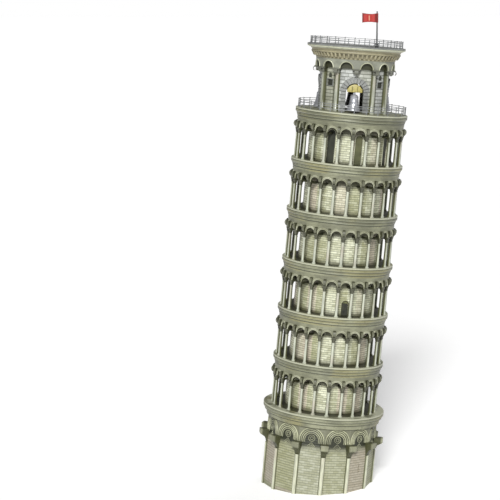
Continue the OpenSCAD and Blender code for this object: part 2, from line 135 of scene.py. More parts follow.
# Outlines, in millimetres from the radius and from the foot or head of a turned piece
CORNICE_STEPS = (
    (-2.0, -7.0), (-1.7, -6.9), (-1.7, -6.2), (-1.35, -5.9), (-1.5, -5.1), (-1.0, -4.7), (-1.0, -4.2),
    (-0.45, -3.7), (-0.05, -3.3), (-0.05, -1.9), (-0.3, -1.75), (-0.3, -1.45), (0, -1.3), (0, -0.4),
    (-0.4, 0),
)
COLUMN_FOOT = ((0.65, 0), (0.65, 0.4), (0.45, 0.5), (0.55, 0.8), (0.2, 1.15), (0.25, 1.4), (0, 1.6))
BELFRY_COLUMN_FOOT = ((0.5, -0.4), (0.5, 0.7), (0.2, 0.9), (0.35, 1.4), (0, 1.9))
CAPITAL_FOOT = ((0, 0.5), (0.35, 1.3), (0.2, 1.5))
ROOF_FOOT = (
    (-2.2, 0), (-1.8, 0.2), (-1.2, 0.7), (-0.4, 0.9), (-0.1, 1.1), (-0.1, 1.6), (-0.35, 1.75), (0, 1.95),
)

# Outline of a bell, in shares of its mouth and of its height
BELL_LIP = ((0, 0.06), (0.84, 0.05), (0.9, 0), (1, 0))
BELL_SIDE = (
    (0.93, 0.09), (0.9, 0.11), (0.84, 0.17), (0.86, 0.19), (0.78, 0.27), (0.70, 0.40), (0.66, 0.5),
    (0.68, 0.52), (0.64, 0.55), (0.60, 0.72), (0.585, 0.83), (0.61, 0.85), (0.57, 0.88), (0.44, 0.955),
    (0.2, 1), (0, 1),
)

# Rolls of a blind arch, in millimetres: inset, half thickness, how far it stands out; then steps
BASE_ROLLS = ((0.6, 0.6, 0, 32), (2.1, 0.42, 0.1, 28), (3.6, 0.5, 0, 28), (5.0, 0.32, 0, 24))
# Rolls of the round and the square in it, in millimetres: radius, half thickness, lift; then steps
BASE_ROUNDELS = ((2.7, 0.32, 1.6, 20), (1.3, 0.28, 1.6, 14), (3.0, 0.36, -5.2, 4), (1.3, 0.32, -5.2, 4))

# Doorways: gallery, angle, width and height in millimetres, finish of the panel of painted shade in the
# opening and of the frame
DOORWAYS = (
    (3, 14.5, 5.4, 12.0, "gallery_door", "niche"),
    (6, -28.0, 7.0, 27.0, "door", "roll"),
    (6, 12.0, 6.0, 24.0, "niche", "roll"),
    (6, 62.0, 7.0, 27.0, "door", "roll"),
)


# ---------------------------------------------------------------- settings


def length(name, text, value_mm):
    return bpy.props.FloatProperty(
        name=name, description=text, default=value_mm * MM, unit="LENGTH", precision=5
    )


def tint(name, text, rgb):
    return bpy.props.FloatVectorProperty(
        name=name, description=text, default=rgb, subtype="COLOR", size=3, min=0, max=1
    )


def whole(name, text, value):
    return bpy.props.IntProperty(name=name, description=text, default=value, min=3)


def turn_angle(name, text, degrees):
    return bpy.props.FloatProperty(
        name=name, description=text, default=math.radians(degrees), subtype="ANGLE"
    )


class TowerBaseSizes(bpy.types.PropertyGroup):
    bays: whole("Bays", "Number of bays round the base", 13)
    turn: turn_angle("Turn", "Angle of the first half column from the front", 1.9)
    flat_r: length("Flat radius", "From the axis to the middle of a flat bay", 45.25)
    block_h: length("Block height", "Height of the block of a capital", 4.2)
    block_w: length("Block width", "Width of the block of a capital", 6.4)
    arch_z: length("Arch centre", "Height of the centre of the blind arches", 45.95)
    arch_r: length("Arch radius", "Outer radius of the blind arches", 10.9)


class TowerGallerySizes(bpy.types.PropertyGroup):
    bays: whole("Bays", "Number of columns round a gallery", 24)
    turn: turn_angle("Turn", "Angle of the first column from the front", 1.3)
    ring_r: length("Ring radius", "Radius of the ring of columns", 43.6)
    shaft_r: length("Shaft radius", "Radius of a column shaft", 1.25)
    arcade_t: length("Arcade thickness", "Thickness of the ring of arches", 2.0)
    arch_r: length("Arch radius", "Radius of an arch opening", 4.35)
    roll_r: length("Roll radius", "Half thickness of a roll round an arch", 0.32)
    curl_r: length("Curl radius", "Radius of a curled springer", 2.55)
    curl_w: length("Curl width", "Width of a curled springer", 2.2)


class TowerBelfrySizes(bpy.types.PropertyGroup):
    bays: whole("Bays", "Number of blind arches round the belfry", 12)
    column_r: length("Column radius", "Radius of a half column", 2.3)
    band_r: length("Band radius", "Outer radius of the arcade band", 32.8)
    arch_r: length("Arch radius", "Radius of a blind arch", 5.2)
    opening_r: length("Opening radius", "Half width of a bell opening", 7.1)
    spring_z: length("Opening spring", "Height where a bell opening starts to curve", 17.0)
    surround_w: length("Surround width", "Width of the stones round a bell opening", 4.8)
    voussoirs: whole("Voussoirs", "Number of stones in the arch of a bell opening", 11)
    dentils: whole("Dentils", "Number of corbels under the cornice", 60)


class TowerBellSizes(bpy.types.PropertyGroup):
    mouth_r: length("Mouth radius", "Radius of a bell at its mouth", 5.8)
    gap: length("Gap", "From the terrace to the mouth of a bell", 2.0)
    top_z: length("Top", "Height of the top of the crown", 16.8)
    yoke_r: length("Yoke radius", "Radius of the half-round headstock", 6.3)
    yoke_t: length("Yoke thickness", "Thickness of the headstock", 3.2)
    pin_r: length("Pin radius", "Radius of the pins of the headstock", 0.6)


class TowerRailSizes(bpy.types.PropertyGroup):
    posts: whole("Posts", "Number of posts round a railing", 28)
    post_r: length("Post radius", "Radius of a post", 0.36)
    rail_r: length("Rail radius", "Radius of a rail", 0.24)


class TowerFlagSizes(bpy.types.PropertyGroup):
    pole_r: length("Pole radius", "Radius of the flagpole at its foot", 0.65)
    wave: length("Wave", "Depth of the wave in the flag", 0.7)
    thickness: length("Thickness", "Thickness of the flag", 0.4)


class TowerPaint(bpy.types.PropertyGroup):
    cream: tint("Cream", "Lightest print of the stone", (0.50, 0.51, 0.38))
    stone: tint("Stone", "Middle print of the stone", (0.27, 0.275, 0.18))
    # Olive also serves for painted shade in recesses, on column flanks and on covered decks
    olive: tint("Olive", "Dark print of the stone", (0.105, 0.11, 0.045))
    rose: tint("Rose", "Pinkish print of some stones", (0.40, 0.32, 0.26))
    joint: tint("Joint", "Print of the joints", (0.045, 0.05, 0.03))
    column: tint("Column", "Rolled card of the columns", (0.46, 0.48, 0.385))
    tan: tint("Tan", "Warm print of the belfry cornice", (0.36, 0.33, 0.21))
    grey: tint("Grey", "Grey print of the roof and the bell arches", (0.16, 0.165, 0.155))
    wire: tint("Wire", "Wire of the railings", (0.24, 0.25, 0.25))
    gold: tint("Gold", "Painted wood of the headstocks", (0.36, 0.31, 0.09))
    silver: tint("Silver", "Metal of the bells", (0.42, 0.43, 0.46))
    red: tint("Red", "Print of the flag", (0.36, 0.018, 0.012))
    dark: tint("Dark", "Deep shade printed in doorways", (0.02, 0.022, 0.014))


class TowerStage(bpy.types.PropertyGroup):
    camera_place: bpy.props.FloatVectorProperty(
        name="Camera", description="Place of the camera", default=(-0.0367, -1.5075, 0.4101),
        subtype="TRANSLATION", size=3, precision=5,
    )
    pitch: turn_angle("Pitch", "How far the camera looks down", 7.93)
    yaw: turn_angle("Yaw", "How far the camera looks left", 0.78)
    lens: bpy.props.FloatProperty(
        name="Lens", description="Focal length, in millimetres on a 36 mm sensor", default=129.6
    )
    floor: tint("Floor", "Colour of the floor", (0.93, 0.93, 0.93))


# ---------------------------------------------------------------- modelling


def deselect_all():
    if bpy.context.object and bpy.context.object.mode != "OBJECT":
        bpy.ops.object.mode_set(mode="OBJECT")
    bpy.ops.object.select_all(action="DESELECT")


def pick(obj):
    deselect_all()
    obj.select_set(True)
    bpy.context.view_layer.objects.active = obj


def edit_all():
    bpy.ops.object.mode_set(mode="EDIT")
    bpy.ops.mesh.select_all(action="SELECT")


def leave_edit():
    bpy.ops.object.mode_set(mode="OBJECT")


def bake_place():
    bpy.ops.object.transform_apply(location=True, rotation=True, scale=True)


def made(add, **settings):
    """Adds a basic shape with one of Blender's own tools, and bakes its place in."""
    deselect_all()
    add(**settings)
    bake_place()
    return bpy.context.object


def block(size, centre, bevel=0.0, steps=1):
    """A block with softened edges."""
    obj = made(bpy.ops.mesh.primitive_cube_add, size=1, location=centre, scale=size)
    if bevel:
        soften(bevel, steps)
    return obj


def bar(r, reach, centre, turn=(0, 0, 0), sides=16):
    """A round bar, upright unless it is turned."""
    return made(bpy.ops.mesh.primitive_cylinder_add, vertices=sides, radius=r, depth=reach,
                location=centre, rotation=turn)


def front_bar(r, r_in, r_out, z, sides=32):
    """A round bar that points forwards, between two radii."""
    return bar(r, r_out - r_in, (0, -(r_in + r_out) / 2, z), FORWARDS, sides)


def roll(major, minor, centre, turn=FORWARDS, around=24, across=8):
    """A round roll as a whole ring, facing forwards unless it is turned."""
    return made(bpy.ops.mesh.primitive_torus_add, major_radius=major, minor_radius=minor,
                major_segments=around, minor_segments=across, location=centre, rotation=turn)


def arch_roll(major, minor, r, z, legs=0.0, around=24, across=8):
    """Half a roll, springing at z, on straight legs."""
    parts = [roll(major, minor, (0, -r, z), FORWARDS, around, across)]
    keep_above(z)
    if legs:
        for side in (-1, 1):
            foot = (side * major, -r, z - legs / 2 + minor / 4)
            parts.append(bar(minor, legs + minor / 2, foot, sides=across))
    return join(parts)


def stepped(r, z, steps):
    """Outline points, from steps in millimetres off a radius and a height."""
    return [(r + out * MM, z + up * MM) for out, up in steps]


def lathe(outline, steps=FINE, at=(0, 0)):
    """Spins an outline of (radius, height) points once round an upright axis."""
    x, y = at
    points = [Vector((x, y - r, z)) for r, z in outline]
    made(bpy.ops.mesh.primitive_plane_add, size=MM, location=points[0])
    edit_all()
    bpy.ops.mesh.merge(type="CENTER")
    for start, end in zip(points, points[1:]):
        bpy.ops.mesh.extrude_region_move(TRANSFORM_OT_translate={"value": end - start})
    bpy.ops.mesh.select_all(action="SELECT")
    bpy.ops.mesh.spin(steps=steps, angle=2 * math.pi, center=(x, y, 0), axis=(0, 0, 1))
    clean()
    return bpy.context.object


def curl(r, w, t, centre_r, z, start, sweep):
    """A curled strip of card at the front, rolled about a level axis; angles in degrees."""
    start = math.radians(start)
    first = (0, -centre_r - r * math.cos(start), z + r * math.sin(start))
    deselect_all()
    bpy.ops.mesh.primitive_plane_add(size=1, location=first, rotation=(-start, 0, 0))
    bpy.context.object.scale = (w, t, 1)
    bake_place()
    edit_all()
    bpy.ops.mesh.spin(steps=14, angle=math.radians(sweep), center=(0, -centre_r, z), axis=(1, 0, 0))
    clean()
    return bpy.context.object


def clean():
    """Welds doubles and turns the faces outwards."""
    leave_edit()
    edit_all()
    bpy.ops.mesh.remove_doubles(threshold=WELD)
    bpy.ops.mesh.normals_make_consistent(inside=False)
    leave_edit()


def apply_modifier(kind, **settings):
    """Adds a modifier to the active object, and applies it."""
    mod = bpy.context.object.modifiers.new(kind.lower(), kind)
    for key, value in settings.items():
        setattr(mod, key, value)
    bpy.ops.object.modifier_apply(modifier=mod.name)


def soften(width, steps=1):
    """Bevels the sharp edges of the active object."""
    apply_modifier("BEVEL", width=width, segments=steps, limit_method="ANGLE", angle_limit=SHARP)


def cut_out(obj, tool):
    """Cuts a tool out of a piece, and removes the tool."""
    pick(obj)
    apply_modifier("BOOLEAN", operation="DIFFERENCE", solver="EXACT", object=tool)
    bpy.data.objects.remove(tool)


def keep_above(z):
    """Cuts the active object level and closes the cut."""
    edit_all()
    bpy.ops.mesh.bisect(plane_co=(0, 0, z), plane_no=(0, 0, 1), use_fill=True, clear_inner=True)
    leave_edit()


def join(parts):
    deselect_all()
    for part in parts:
        part.select_set(True)
    bpy.context.view_layer.objects.active = parts[0]
    if len(parts) > 1:
        bpy.ops.object.join()
    return bpy.context.object


def wrap_round(obj, r):
    """Bends a piece drawn flat at the front round a drum of radius r."""
    for v in obj.data.vertices:
        angle = v.co.x / r
        reach = -v.co.y
        v.co.x = reach * math.sin(angle)
        v.co.y = -reach * math.cos(angle)


def ring_of(obj, count, turn=0.0):
    """Repeats a piece drawn at the front all the way round the axis."""
    pick(obj)
    obj.rotation_euler.z = turn
    bake_place()
    edit_all()
    sweep = 2 * math.pi / count * (count - 1)
    bpy.ops.mesh.spin(steps=count - 1, angle=sweep, dupli=True, center=(0, 0, 0), axis=(0, 0, 1))
    leave_edit()
    return obj


def placed(template, name, place, paint, slot, node=None, smooth=35, body=TOWER):
    """A finished copy of a template, put in its place, dressed and tied to its body."""
    obj = template.copy()
    obj.data = template.data.copy()
    obj.name = name
    obj.data.name = name
    bpy.context.scene.collection.objects.link(obj)
    pick(obj)
    obj.matrix_world = place
    bake_place()
    bpy.ops.object.shade_smooth_by_angle(angle=math.radians(smooth))
    obj.data.materials.clear()
    obj.data.materials.append(PAINTS[paint])
    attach(obj, body)
    if node:
        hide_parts(node)


def settle(template, *row, **settings):
    """Places a template's only copy, and removes the template."""
    placed(template, *row, **settings)
    bpy.data.objects.remove(template)


# ---------------------------------------------------------------- painting


def maths(operation):
    """An operation on Numbers, which adds a Math node."""

    def added(self, *others):
        return self.paint.number("ShaderNodeMath", {"operation": operation}, [self, *others])

    return added


class Number:
    """A value in a material. Arithmetic on it adds Math nodes."""

    __add__ = maths("ADD")
    __sub__ = maths("SUBTRACT")
    __mul__ = maths("MULTIPLY")
    __truediv__ = maths("DIVIDE")
    __mod__ = maths("FLOORED_MODULO")
    below = maths("LESS_THAN")
    above = maths("GREATER_THAN")
    floor = maths("FLOOR")
    size = maths("ABSOLUTE")
    root = maths("SQRT")
    smallest = maths("MINIMUM")
    largest = maths("MAXIMUM")
    arc_tangent = maths("ARCTAN2")

    def __init__(self, paint, socket):
        self.paint = paint
        self.socket = socket

    def __rsub__(self, other):
        return self.paint.number("ShaderNodeMath", {"operation": "SUBTRACT"}, [other, self])

    def off_middle(self):
        """How far a value is from the middle of its whole step."""
        return (self % 1.0 - 0.5).size()

    def angle(self, y):
        """Angle of (self, y) from the front, about the upright axis."""
        return self.arc_tangent(y * -1.0)

    def distance(self, y):
        """Distance of (self, y) from the upright axis."""
        return (self * self + y * y).root()

    def ramp(self, low, high):
        """0 at low, 1 at high, and smooth between."""
        settings = {"interpolation_type": "SMOOTHSTEP"}
        return self.paint.number("ShaderNodeMapRange", settings, [self, low, high])


class Paint:
    """A material being mixed."""

    def __init__(self, name):
        self.material = bpy.data.materials.new(name)
        self.material.use_nodes = True
        self.nodes = self.material.node_tree.nodes
        self.links = self.material.node_tree.links
        self.shader = self.nodes["Principled BSDF"]
        self.place = self.make("ShaderNodeTexCoord").outputs["Object"]

    def make(self, kind, settings=None, values=()):
        """Any node, with its settings set first, then its inputs, by order or by name."""
        node = self.nodes.new(kind)
        for key, value in (settings or {}).items():
            setattr(node, key, value)
        pairs = values.items() if isinstance(values, dict) else enumerate(values)
        for key, value in pairs:
            self.feed(node.inputs[key], value)
        return node

    def feed(self, socket, value):
        if isinstance(value, Number):
            value = value.socket
        if isinstance(value, bpy.types.NodeSocket):
            self.links.new(value, socket)
        else:
            socket.default_value = value

    def number(self, kind, settings, values):
        return Number(self, self.make(kind, settings, values).outputs[0])

    def within(self, lean):
        """Object coordinates, measured inside a leaning frame."""
        back = lean.inverted()
        values = {"Vector": self.place, "Location": back.translation, "Rotation": back.to_euler()}
        return self.make("ShaderNodeMapping", {}, values).outputs[0]

    def stretched(self, place, scale):
        return self.make("ShaderNodeMapping", {}, {"Vector": place, "Scale": scale}).outputs[0]

    def axes(self, place):
        node = self.make("ShaderNodeSeparateXYZ", {}, [place])
        return [Number(self, socket) for socket in node.outputs]

    def noise(self, scale, place=None, detail=2.0):
        node = self.make(
            "ShaderNodeTexNoise", {},
            {"Vector": place or self.place, "Scale": scale, "Detail": detail, "Roughness": 0.55},
        )
        return Number(self, node.outputs["Fac"])

    def chance(self, x, y):
        """A steady random number for each whole pair of numbers."""
        pair = self.make("ShaderNodeCombineXYZ", {}, [x, y, 0.37])
        node = self.make("ShaderNodeTexWhiteNoise", {"noise_dimensions": "3D"}, [pair.outputs[0]])
        return Number(self, node.outputs["Value"])

    def outward(self, place, r, width):
        """1 on what stands further out than a ring of radius r, 0 further in."""
        x, y, _ = self.axes(place)
        return x.distance(y).ramp(r - width / 2, r + width / 2)

    def blend(self, share, low, high):
        node = self.make("ShaderNodeMix", {"data_type": "RGBA"})
        for index, value in ((0, share), (6, low), (7, high)):
            if isinstance(value, tuple):
                value = (*value, 1.0)
            self.feed(node.inputs[index], value)
        return node.outputs[2]

    def clouds(self, scale, low, high, place=None):
        """Two tones in soft clouds."""
        return self.blend(self.noise(scale, place).ramp(0.35, 0.65), low, high)

    def finish(self, colour, roughness, height=None, relief=0.0001, metal=0.0, coat=0.0):
        self.feed(self.shader.inputs["Base Color"], colour)
        self.feed(self.shader.inputs["Roughness"], roughness)
        self.shader.inputs["Metallic"].default_value = metal
        self.shader.inputs["Coat Weight"].default_value = coat
        self.shader.inputs["Coat Roughness"].default_value = 0.3
        if height is not None:
            bump = self.make("ShaderNodeBump", {}, {"Strength": 0.6, "Distance": relief, "Height": height})
            self.links.new(bump.outputs[0], self.shader.inputs["Normal"])
        return self.material


PAINTS = {}

# Tints that only one finish uses
MOSS = (0.26, 0.26, 0.11)
OCHRE = (0.26, 0.24, 0.11)
# Painted shade for the foot and the head of the gallery walls
STOREY_END_SHADE = (0.055, 0.052, 0.02)
# Painted shade in the recesses of the blind arches of the base
RECESS_SHADE = (0.022, 0.025, 0.012)
EMBLEM = (0.62, 0.33, 0.22)
BELFRY_ARCADE = (0.27, 0.28, 0.22)
BELFRY_CAPITAL = (0.16, 0.165, 0.13)
BOARD = (0.30, 0.25, 0.16)
BOARD_EDGE = (0.20, 0.16, 0.10)
WHITE = (1, 1, 1, 1)


def shade(rgb, share):
    return tuple(c * share for c in rgb)


def ink(name, share=1.0):
    """One of the panel's colours, lighter or darker by a share."""
    return shade(getattr(bpy.context.scene.tower_paint, name), share)


def courses(paint, place, tones, joint_share, r, course_h, block_w, bay, turn):
    """Printed stone courses round a drum, tinted bay by bay: the colour and the joint mask."""
    stone, cream, rose = tones
    x, y, z = paint.axes(place)
    angle = x.angle(y)
    around = round(2 * math.pi * r / block_w)
    row = (z / course_h).floor()
    along = angle * (around / (2 * math.pi)) + (row % 2.0) * 0.5
    drift = (paint.noise(70, place) - 0.5) * (0.3 * MM)
    bed = ((z + drift) / course_h).off_middle().ramp(0.5, 0.33)
    upright = along.off_middle().ramp(0.5, 0.45)
    solid = bed.smallest(upright * 0.6 + 0.4)
    luck = paint.chance(along.floor() % float(around), row)
    mottle = paint.noise(300, place, 3.0)
    tone = paint.blend((luck * 0.4 + mottle * 0.6).ramp(0.25, 0.75), stone, cream)
    storey = (z / GALLERY_H).floor()
    patch = paint.noise(90, place, 1.0) - 0.5
    bay_luck = paint.chance(((angle - turn) / bay + patch * 0.12).floor(), storey)
    warm = paint.blend(bay_luck.ramp(0.6, 0.85) * 0.5, tone, rose)
    green = paint.blend(bay_luck.ramp(0.42, 0.2) * 0.5, warm, MOSS)
    return paint.blend((1.0 - solid) * joint_share, green, ink("joint")), solid


def paint_gallery_wall():
    """Pale courses, with painted shade at the foot and under the head of each gallery."""
    paint = Paint("gallery_wall_print")
    sizes = bpy.context.scene.tower_gallery
    place = paint.within(on_gallery(1))
    tones = (ink("stone", 1.5), ink("cream", 1.4), ink("rose", 1.4))
    colour, solid = courses(paint, place, tones, 0.9, WALL_R, 1.85 * MM, 5.2 * MM,
                            2 * math.pi / sizes.bays, sizes.turn)
    # Painted shade by height in each storey: at the foot of the wall and under the arcade at its head
    shade_height = paint.axes(place)[2] % GALLERY_H + paint.noise(120, place) * (3 * MM)
    ends = shade_height.ramp(5.5 * MM, 1.5 * MM).largest(shade_height.ramp(22 * MM, 29 * MM))
    colour = paint.blend(ends * 0.8, colour, STOREY_END_SHADE)
    return paint.finish(colour, 0.5, solid, 0.15 * MM)


def paint_base_wall():
    """Courses darker towards the foot, with painted shade at the head and in the recess inside each blind
    arch.
    """
    paint = Paint("base_wall_print")
    place = paint.within(ON_TOWER)
    sizes = bpy.context.scene.tower_base
    bay = 2 * math.pi / sizes.bays
    tones = (ink("stone"), ink("cream", 0.74), ink("rose"))
    colour, solid = courses(paint, place, tones, 0.75, BASE_WALL_R, 2.1 * MM, 4.6 * MM, bay,
                            sizes.turn)
    x, y, z = paint.axes(place)
    # The wall gets darker towards the foot, and gets painted shade towards the head among the blind arches
    edge_noise = paint.noise(60, place) * (6 * MM)
    foot = (z + edge_noise).ramp(6 * MM, 0) * 0.4
    head = (z + edge_noise).ramp(38 * MM, 44 * MM) * 0.95
    # Painted shade in the recess inside each blind arch, above its spring
    aside = (((x.angle(y) - sizes.turn) / bay) % 1.0 - 0.5) * (bay * sizes.flat_r)
    reach = aside.distance((z - sizes.arch_z).largest(0.0))
    recess = reach.ramp(sizes.arch_r, sizes.arch_r - 0.6 * MM) * (z + edge_noise * 0.6).ramp(40 * MM, 44 * MM)
    colour = paint.blend(foot.largest(head), colour, ink("stone", 0.55))
    colour = paint.blend(recess, colour, RECESS_SHADE)
    return paint.finish(colour, 0.45, solid, 0.18 * MM)


def paint_belfry_wall():
    """Grey courses with painted shade in bands beside the columns and at the head under the arcade."""
    paint = Paint("belfry_wall_print")
    place = paint.within(ON_BELFRY)
    bay = 2 * math.pi / bpy.context.scene.tower_belfry.bays
    tones = (ink("grey", 1.6), ink("grey", 3.0), ink("grey", 2.2))
    colour, solid = courses(paint, place, tones, 0.95, BELFRY_WALL_R, 2.9 * MM, 6.0 * MM, bay, 0.0)
    x, y, z = paint.axes(place)
    angle = x.angle(y)
    # Painted shade beside the columns, away from the bell openings
    columns = (angle / bay + 0.5).off_middle().ramp(0.3, 0.2)
    openings = (angle / (math.pi / 2) + 0.5).off_middle().ramp(0.3, 0.32)
    colour = paint.blend(columns * openings * 0.85, colour, ink("olive", 0.45))
    # Painted shade at the head of the wall, inside the blind arches
    head = z.ramp(BELFRY_SPRING_Z - 3 * MM, BELFRY_SPRING_Z + 1 * MM)
    colour = paint.blend(head * 0.8, colour, ink("olive", 0.35))
    return paint.finish(colour, 0.45, solid, 0.2 * MM)


def paint_column(name, pale, lean, ring_r):
    """Rolled card, pale on the side that faces out, with painted shade on its flanks and back."""
    paint = Paint(name)
    place = paint.within(lean)
    streak = paint.noise(900, paint.stretched(place, (1, 1, 0.12)))
    colour = paint.blend(streak.ramp(0.3, 0.7) * 0.7, shade(pale, 1.1), shade(pale, 0.6))
    colour = paint.blend(paint.noise(55).ramp(0.5, 0.72) * 0.4, colour, ink("rose"))
    # Painted shade on the flanks and back, on all further in than the ring
    colour = paint.blend(paint.outward(place, ring_r, 0.8 * MM), ink("olive", 0.75), colour)
    return paint.finish(colour, 0.32, streak, 0.06 * MM, coat=0.25)


def paint_cornice():
    """Card mouldings: bands of pale and dark print below a shaded deck."""
    paint = Paint("cornice_print")
    place = paint.within(on_gallery(1))
    height = paint.axes(place)[2]
    drift = (paint.noise(45, place) - 0.5) * (0.4 * MM)
    below = GALLERY_H - (height + drift - 0.01 * MM) % GALLERY_H
    grain = paint.noise(420, place, 3.0)
    colour = paint.clouds(40, ink("stone", 0.92), ink("stone", 0.5), place)
    colour = paint.blend(paint.noise(26, place).ramp(0.5, 0.62) * 0.6, colour, OCHRE)
    colour = paint.blend(grain.ramp(0.45, 0.8) * 0.5, colour, ink("olive", 0.8))
    pale = ink("cream", 0.85)
    deep = ink("joint")
    for low, high, share, print_colour in (
        (0, 1.25, 0.8, pale), (3.3, 3.75, 0.7, pale), (5.9, 6.3, 0.6, pale),
        (1.3, 1.8, 0.85, deep), (3.8, 4.4, 0.85, deep), (6.35, 7.2, 0.9, deep),
    ):
        band = below.above(low * MM) * below.below(high * MM)
        colour = paint.blend(band * share, colour, print_colour)
    # Painted shade on the decks that have a storey over them; the top deck keeps a stone colour
    roofed_decks = height.below((len(GALLERIES) - 0.1) * GALLERY_H)
    inner = paint.blend(roofed_decks, ink("stone", 0.8), ink("olive", 0.25))
    colour = paint.blend(paint.outward(place, CORNICE_R - 2.6 * MM, 1.2 * MM), inner, colour)
    return paint.finish(colour, 0.45, grain)


def paint_tan_cornice():
    """Warm card mouldings with fine printed lines that run round with them."""
    paint = Paint("tan_cornice_print")
    place = paint.within(ON_BELFRY)
    drift = (paint.noise(45, place) - 0.5) * (0.6 * MM)
    groove = ((paint.axes(place)[2] + drift) / (1.6 * MM)).off_middle().ramp(0.5, 0.36)
    grain = paint.noise(420, place, 3.0)
    dark = ink("tan", 0.72)
    colour = paint.clouds(40, ink("tan"), dark, place)
    colour = paint.blend(grain.ramp(0.45, 0.8) * 0.5, colour, shade(dark, 0.7))
    colour = paint.blend((1.0 - groove) * 0.55, colour, ink("joint"))
    return paint.finish(colour, 0.5, groove * 0.6 + grain * 0.4, 0.12 * MM)


def paint_stone(name, light, dark, rough=0.5, speck=0.6, recess=None):
    """Printed stone with grain and clouds; a recess is a painted shade: its colour, its frame, a radius and
    a width.
    """
    paint = Paint(name)
    grain = paint.noise(520, None, 3.0)
    colour = paint.clouds(75, light, dark)
    colour = paint.blend(grain.ramp(0.5, 0.8) * 0.5, colour, shade(dark, speck))
    # Painted shade on all that lies further in than the ring
    if recess:
        deep, lean, ring_r, width = recess
        colour = paint.blend(paint.outward(paint.within(lean), ring_r, width), deep, colour)
    return paint.finish(colour, rough, grain)


def paint_roof():
    """A grey slab with a pale band under its edge."""
    paint = Paint("roof_print")
    place = paint.within(ON_BELFRY @ lifted(ROOF_LOW.z))
    grain = paint.noise(420, place, 3.0)
    colour = paint.clouds(60, ink("grey", 1.4), ink("grey"), place)
    band = paint.axes(place)[2].ramp(2.0 * MM, 1.8 * MM) * paint.outward(place, ROOF_HIGH.y - 3 * MM, MM)
    colour = paint.blend(band, colour, ink("cream", 0.95))
    colour = paint.blend(grain.ramp(0.5, 0.8) * 0.4, colour, ink("grey", 0.5))
    return paint.finish(colour, 0.5, grain)


def paint_metal(name, colour, rough, metal):
    paint = Paint(name)
    grain = paint.noise(700, None, 3.0)
    tone = paint.blend(paint.noise(110).ramp(0.35, 0.7), shade(colour, 1.1), shade(colour, 0.7))
    return paint.finish(tone, grain * 0.15 + (rough - 0.07), grain, 0.04 * MM, metal=metal)


def paint_wood():
    paint = Paint("yoke_wood")
    grain = paint.noise(420, paint.stretched(paint.place, (1, 1, 5)), 3.0)
    tone = paint.blend(grain.ramp(0.35, 0.7), ink("gold", 1.25), ink("gold", 0.6))
    return paint.finish(tone, 0.45, grain, 0.08 * MM)


def paint_flag():
    """Red card with a darker border and a small pale bar in the middle."""
    paint = Paint("flag_print")
    x, _, z = paint.axes(paint.place)
    low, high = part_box("flag")
    pole_low, pole_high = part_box("flagpole")
    right = (pole_low.x + pole_high.x) / 2 - bpy.context.scene.tower_flag.pole_r
    across = ((x - (low.x + right) / 2) / ((right - low.x) / 2)).size()
    upward = ((z - (low.z + high.z) / 2) / ((high.z - low.z) / 2)).size()
    border = across.largest(upward).ramp(0.76, 0.84)
    bar_print = across.below(0.09) * upward.below(0.55)
    weave = paint.noise(900)
    colour = paint.blend(border * 0.75, ink("red"), ink("red", 0.25))
    colour = paint.blend(bar_print * 0.8, colour, EMBLEM)
    colour = paint.blend(weave.ramp(0.4, 0.8) * 0.25, colour, ink("red", 0.5))
    return paint.finish(colour, 0.55, weave, 0.05 * MM)


def paint_gallery_door():
    """Painted shade in a doorway: dark below, olive in the tympanum above."""
    paint = Paint("gallery_door_print")
    height = paint.axes(paint.within(on_gallery(3)))[2]
    grain = paint.noise(420)
    streak = grain.ramp(0.4, 0.7)
    leaf = paint.blend(streak, ink("dark", 1.8), ink("dark"))
    head = paint.blend(streak, ink("olive", 1.5), ink("olive"))
    return paint.finish(paint.blend(height.above(10.2 * MM), leaf, head), 0.6, grain, 0.08 * MM)


